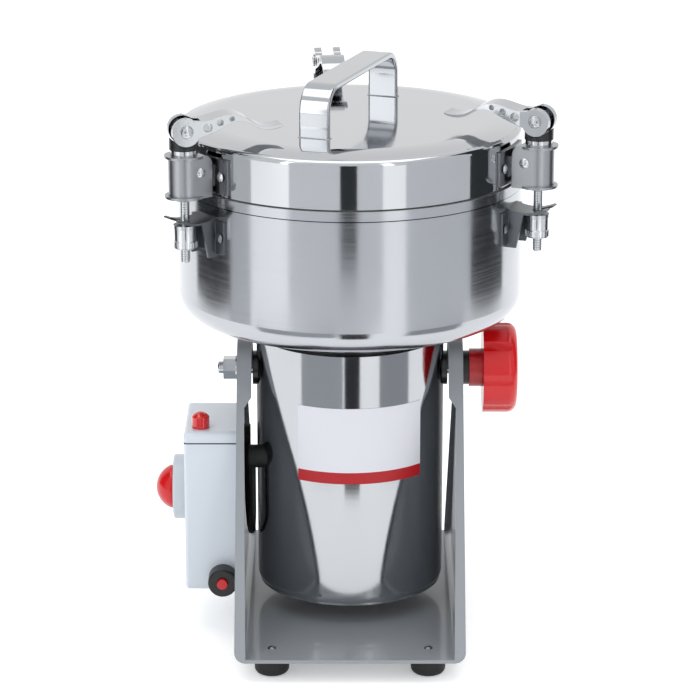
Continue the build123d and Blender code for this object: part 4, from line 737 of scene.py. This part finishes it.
# The dark ring is painted shade in the seam, with the black rubber finish.
finish_piece(seam, "box_seam_shadow", "frame", rubber_black)
print("seam size", [round(v, 4) for v in seam_size], "height", round(seam_z, 4))


# %% [markdown]
# ## Floor and background
# A pale floor runs out to a white background, as in a catalogue photograph. A curved sweep of
# paper could do it; here floor and background tell the kinds of rays apart instead. Both look
# white to the camera and in reflections, and the floor's glow throws no light on dull surfaces.

# %% Floor and background
FLOOR_SIZE = 8
FLOOR_GLOW = 0.32
WHITE = (1, 1, 1, 1)
SKY_SHADE = "F4F6F8"


def seen_rays(tree):
    """An output that is 1 for rays that are seen: from the camera, in a reflection or through
    glass. It is 0 for rays that only carry light."""
    ray = add_node(tree, "ShaderNodeLightPath")
    direct = add_node(tree, "ShaderNodeMath", {"operation": "ADD"},
                      {0: ray.outputs["Is Camera Ray"], 1: ray.outputs["Is Glossy Ray"]})
    seen = add_node(tree, "ShaderNodeMath", {"operation": "ADD", "use_clamp": True},
                    {0: direct.outputs["Value"], 1: ray.outputs["Is Transmission Ray"]})
    return seen.outputs["Value"]


bpy.ops.mesh.primitive_plane_add(size=FLOOR_SIZE, location=(0, 0, 0))
floor = bpy.context.object
floor.name = "floor"
floor_white, floor_tree = blank_material("floor_white")
floor_glow = add_node(floor_tree, "ShaderNodeMath", {"operation": "MULTIPLY"},
                      {0: seen_rays(floor_tree), 1: FLOOR_GLOW})
floor_shader = add_node(floor_tree, "ShaderNodeBsdfPrincipled", inputs={
    "Base Color": WHITE, "Roughness": 0.9, "Specular IOR Level": 0.0,
    "Emission Color": WHITE, "Emission Strength": floor_glow.outputs["Value"]})
add_node(floor_tree, "ShaderNodeOutputMaterial", inputs={"Surface": floor_shader.outputs["BSDF"]})
paint(floor, floor_white)

world = bpy.data.worlds.new("studio")
bpy.context.scene.world = world
world.use_nodes = True
sky = world.node_tree
sky.nodes.clear()
sky_white = add_node(sky, "ShaderNodeBackground", inputs={"Color": WHITE, "Strength": 1.0})
sky_felt = add_node(sky, "ShaderNodeBackground",
                    inputs={"Color": colour(SKY_SHADE), "Strength": 1.0})
sky_mix = add_node(sky, "ShaderNodeMixShader", inputs={
    0: seen_rays(sky), 1: sky_felt.outputs["Background"], 2: sky_white.outputs["Background"]})
add_node(sky, "ShaderNodeOutputWorld", inputs={"Surface": sky_mix.outputs["Shader"]})
print("floor and background made")

# %% [markdown]
# ## Lights
# In a studio, soft boxes stand above and to both sides in front of the subject. Small lamps would
# do the same with hard shadows, which the photograph doesn't have, so these are wide area lights.

# %% Lights
# Each has its name, place, the point it faces, width, height and power in watts.
LIGHTS = [
    ("light_top", (0.0, -0.2, 2.4), (0, 0, 0.3), 2.2, 1.6, 15),
    ("light_left", (-1.25, -1.6, 1.0), (0, 0, 0.25), 0.5, 1.8, 5),
    ("light_right", (0.9, -2.0, 1.1), (0, 0, 0.25), 0.3, 1.8, 3),
]
for name, place, target, width, height, power in LIGHTS:
    bpy.ops.object.light_add(type="AREA", location=place)
    light = bpy.context.object
    light.name = name
    light.data.shape = "RECTANGLE"
    light.data.size = width
    light.data.size_y = height
    light.data.energy = power
    light.rotation_euler = (Vector(target) - Vector(place)).to_track_quat("-Z", "Y").to_euler()

# %% [markdown]
# ## Cards
# A studio hangs black and grey flags round polished steel, so that it shows upright bands and not
# one white glare. A picture of a room could give bands too, but cards can be put where each band
# is wanted. Only reflections see them. An upright wall that is seen from above reflects the floor
# beyond arm's length, so the cards stand close by.

# %% Dark cards
# Each has its name, angle from the X axis, distance, width, low and top height, and shade.
CARDS = [
    ("card_left", 173.7, 0.75, 0.47, 0.10, 1.2, "3A3C3E"),
    ("card_right", 6.3, 0.75, 0.45, 0.10, 1.2, "3A3C3E"),
    ("card_middle", -90.8, 0.94, 0.17, 0.115, 0.5, "3A3C3E"),
    ("card_grey_front", -99.0, 0.98, 1.10, 0.0, 1.2, "F0F1F3"),
    ("card_grey_right", -32.0, 0.98, 0.84, 0.0, 1.2, "E2E3E6"),
    ("card_grey_left", -163.0, 0.98, 0.30, 0.0, 1.2, "D6D8DA"),
    ("card_low_middle", -87.6, 0.45, 0.136, 0.0, 0.165, "3A3C3E"),
    ("card_low_left", -123.0, 0.50, 0.46, 0.0, 0.16, "C3C6CA"),
    ("card_low_right", -37.5, 0.50, 0.34, 0.0, 0.16, "B0B3B7"),
]
for name, angle_deg, distance, width, low, top, hex_code in CARDS:
    angle = math.radians(angle_deg)
    bpy.ops.mesh.primitive_plane_add(size=1, location=(0, 0, 0))
    card = bpy.context.object
    card.name = name
    card.scale = (width, top - low, 1)
    settle(card, (distance * math.cos(angle), distance * math.sin(angle), (low + top) / 2),
           (math.pi / 2, 0, angle + math.pi / 2))
    card.visible_camera = False
    card.visible_diffuse = False
    card.visible_shadow = False
    card_finish, card_tree = blank_material(f"{name}_dark")
    card_shader = add_node(card_tree, "ShaderNodeBsdfDiffuse", inputs={"Color": colour(hex_code)})
    add_node(card_tree, "ShaderNodeOutputMaterial",
             inputs={"Surface": card_shader.outputs["BSDF"]})
    paint(card, card_finish)
print("cards", len(CARDS))
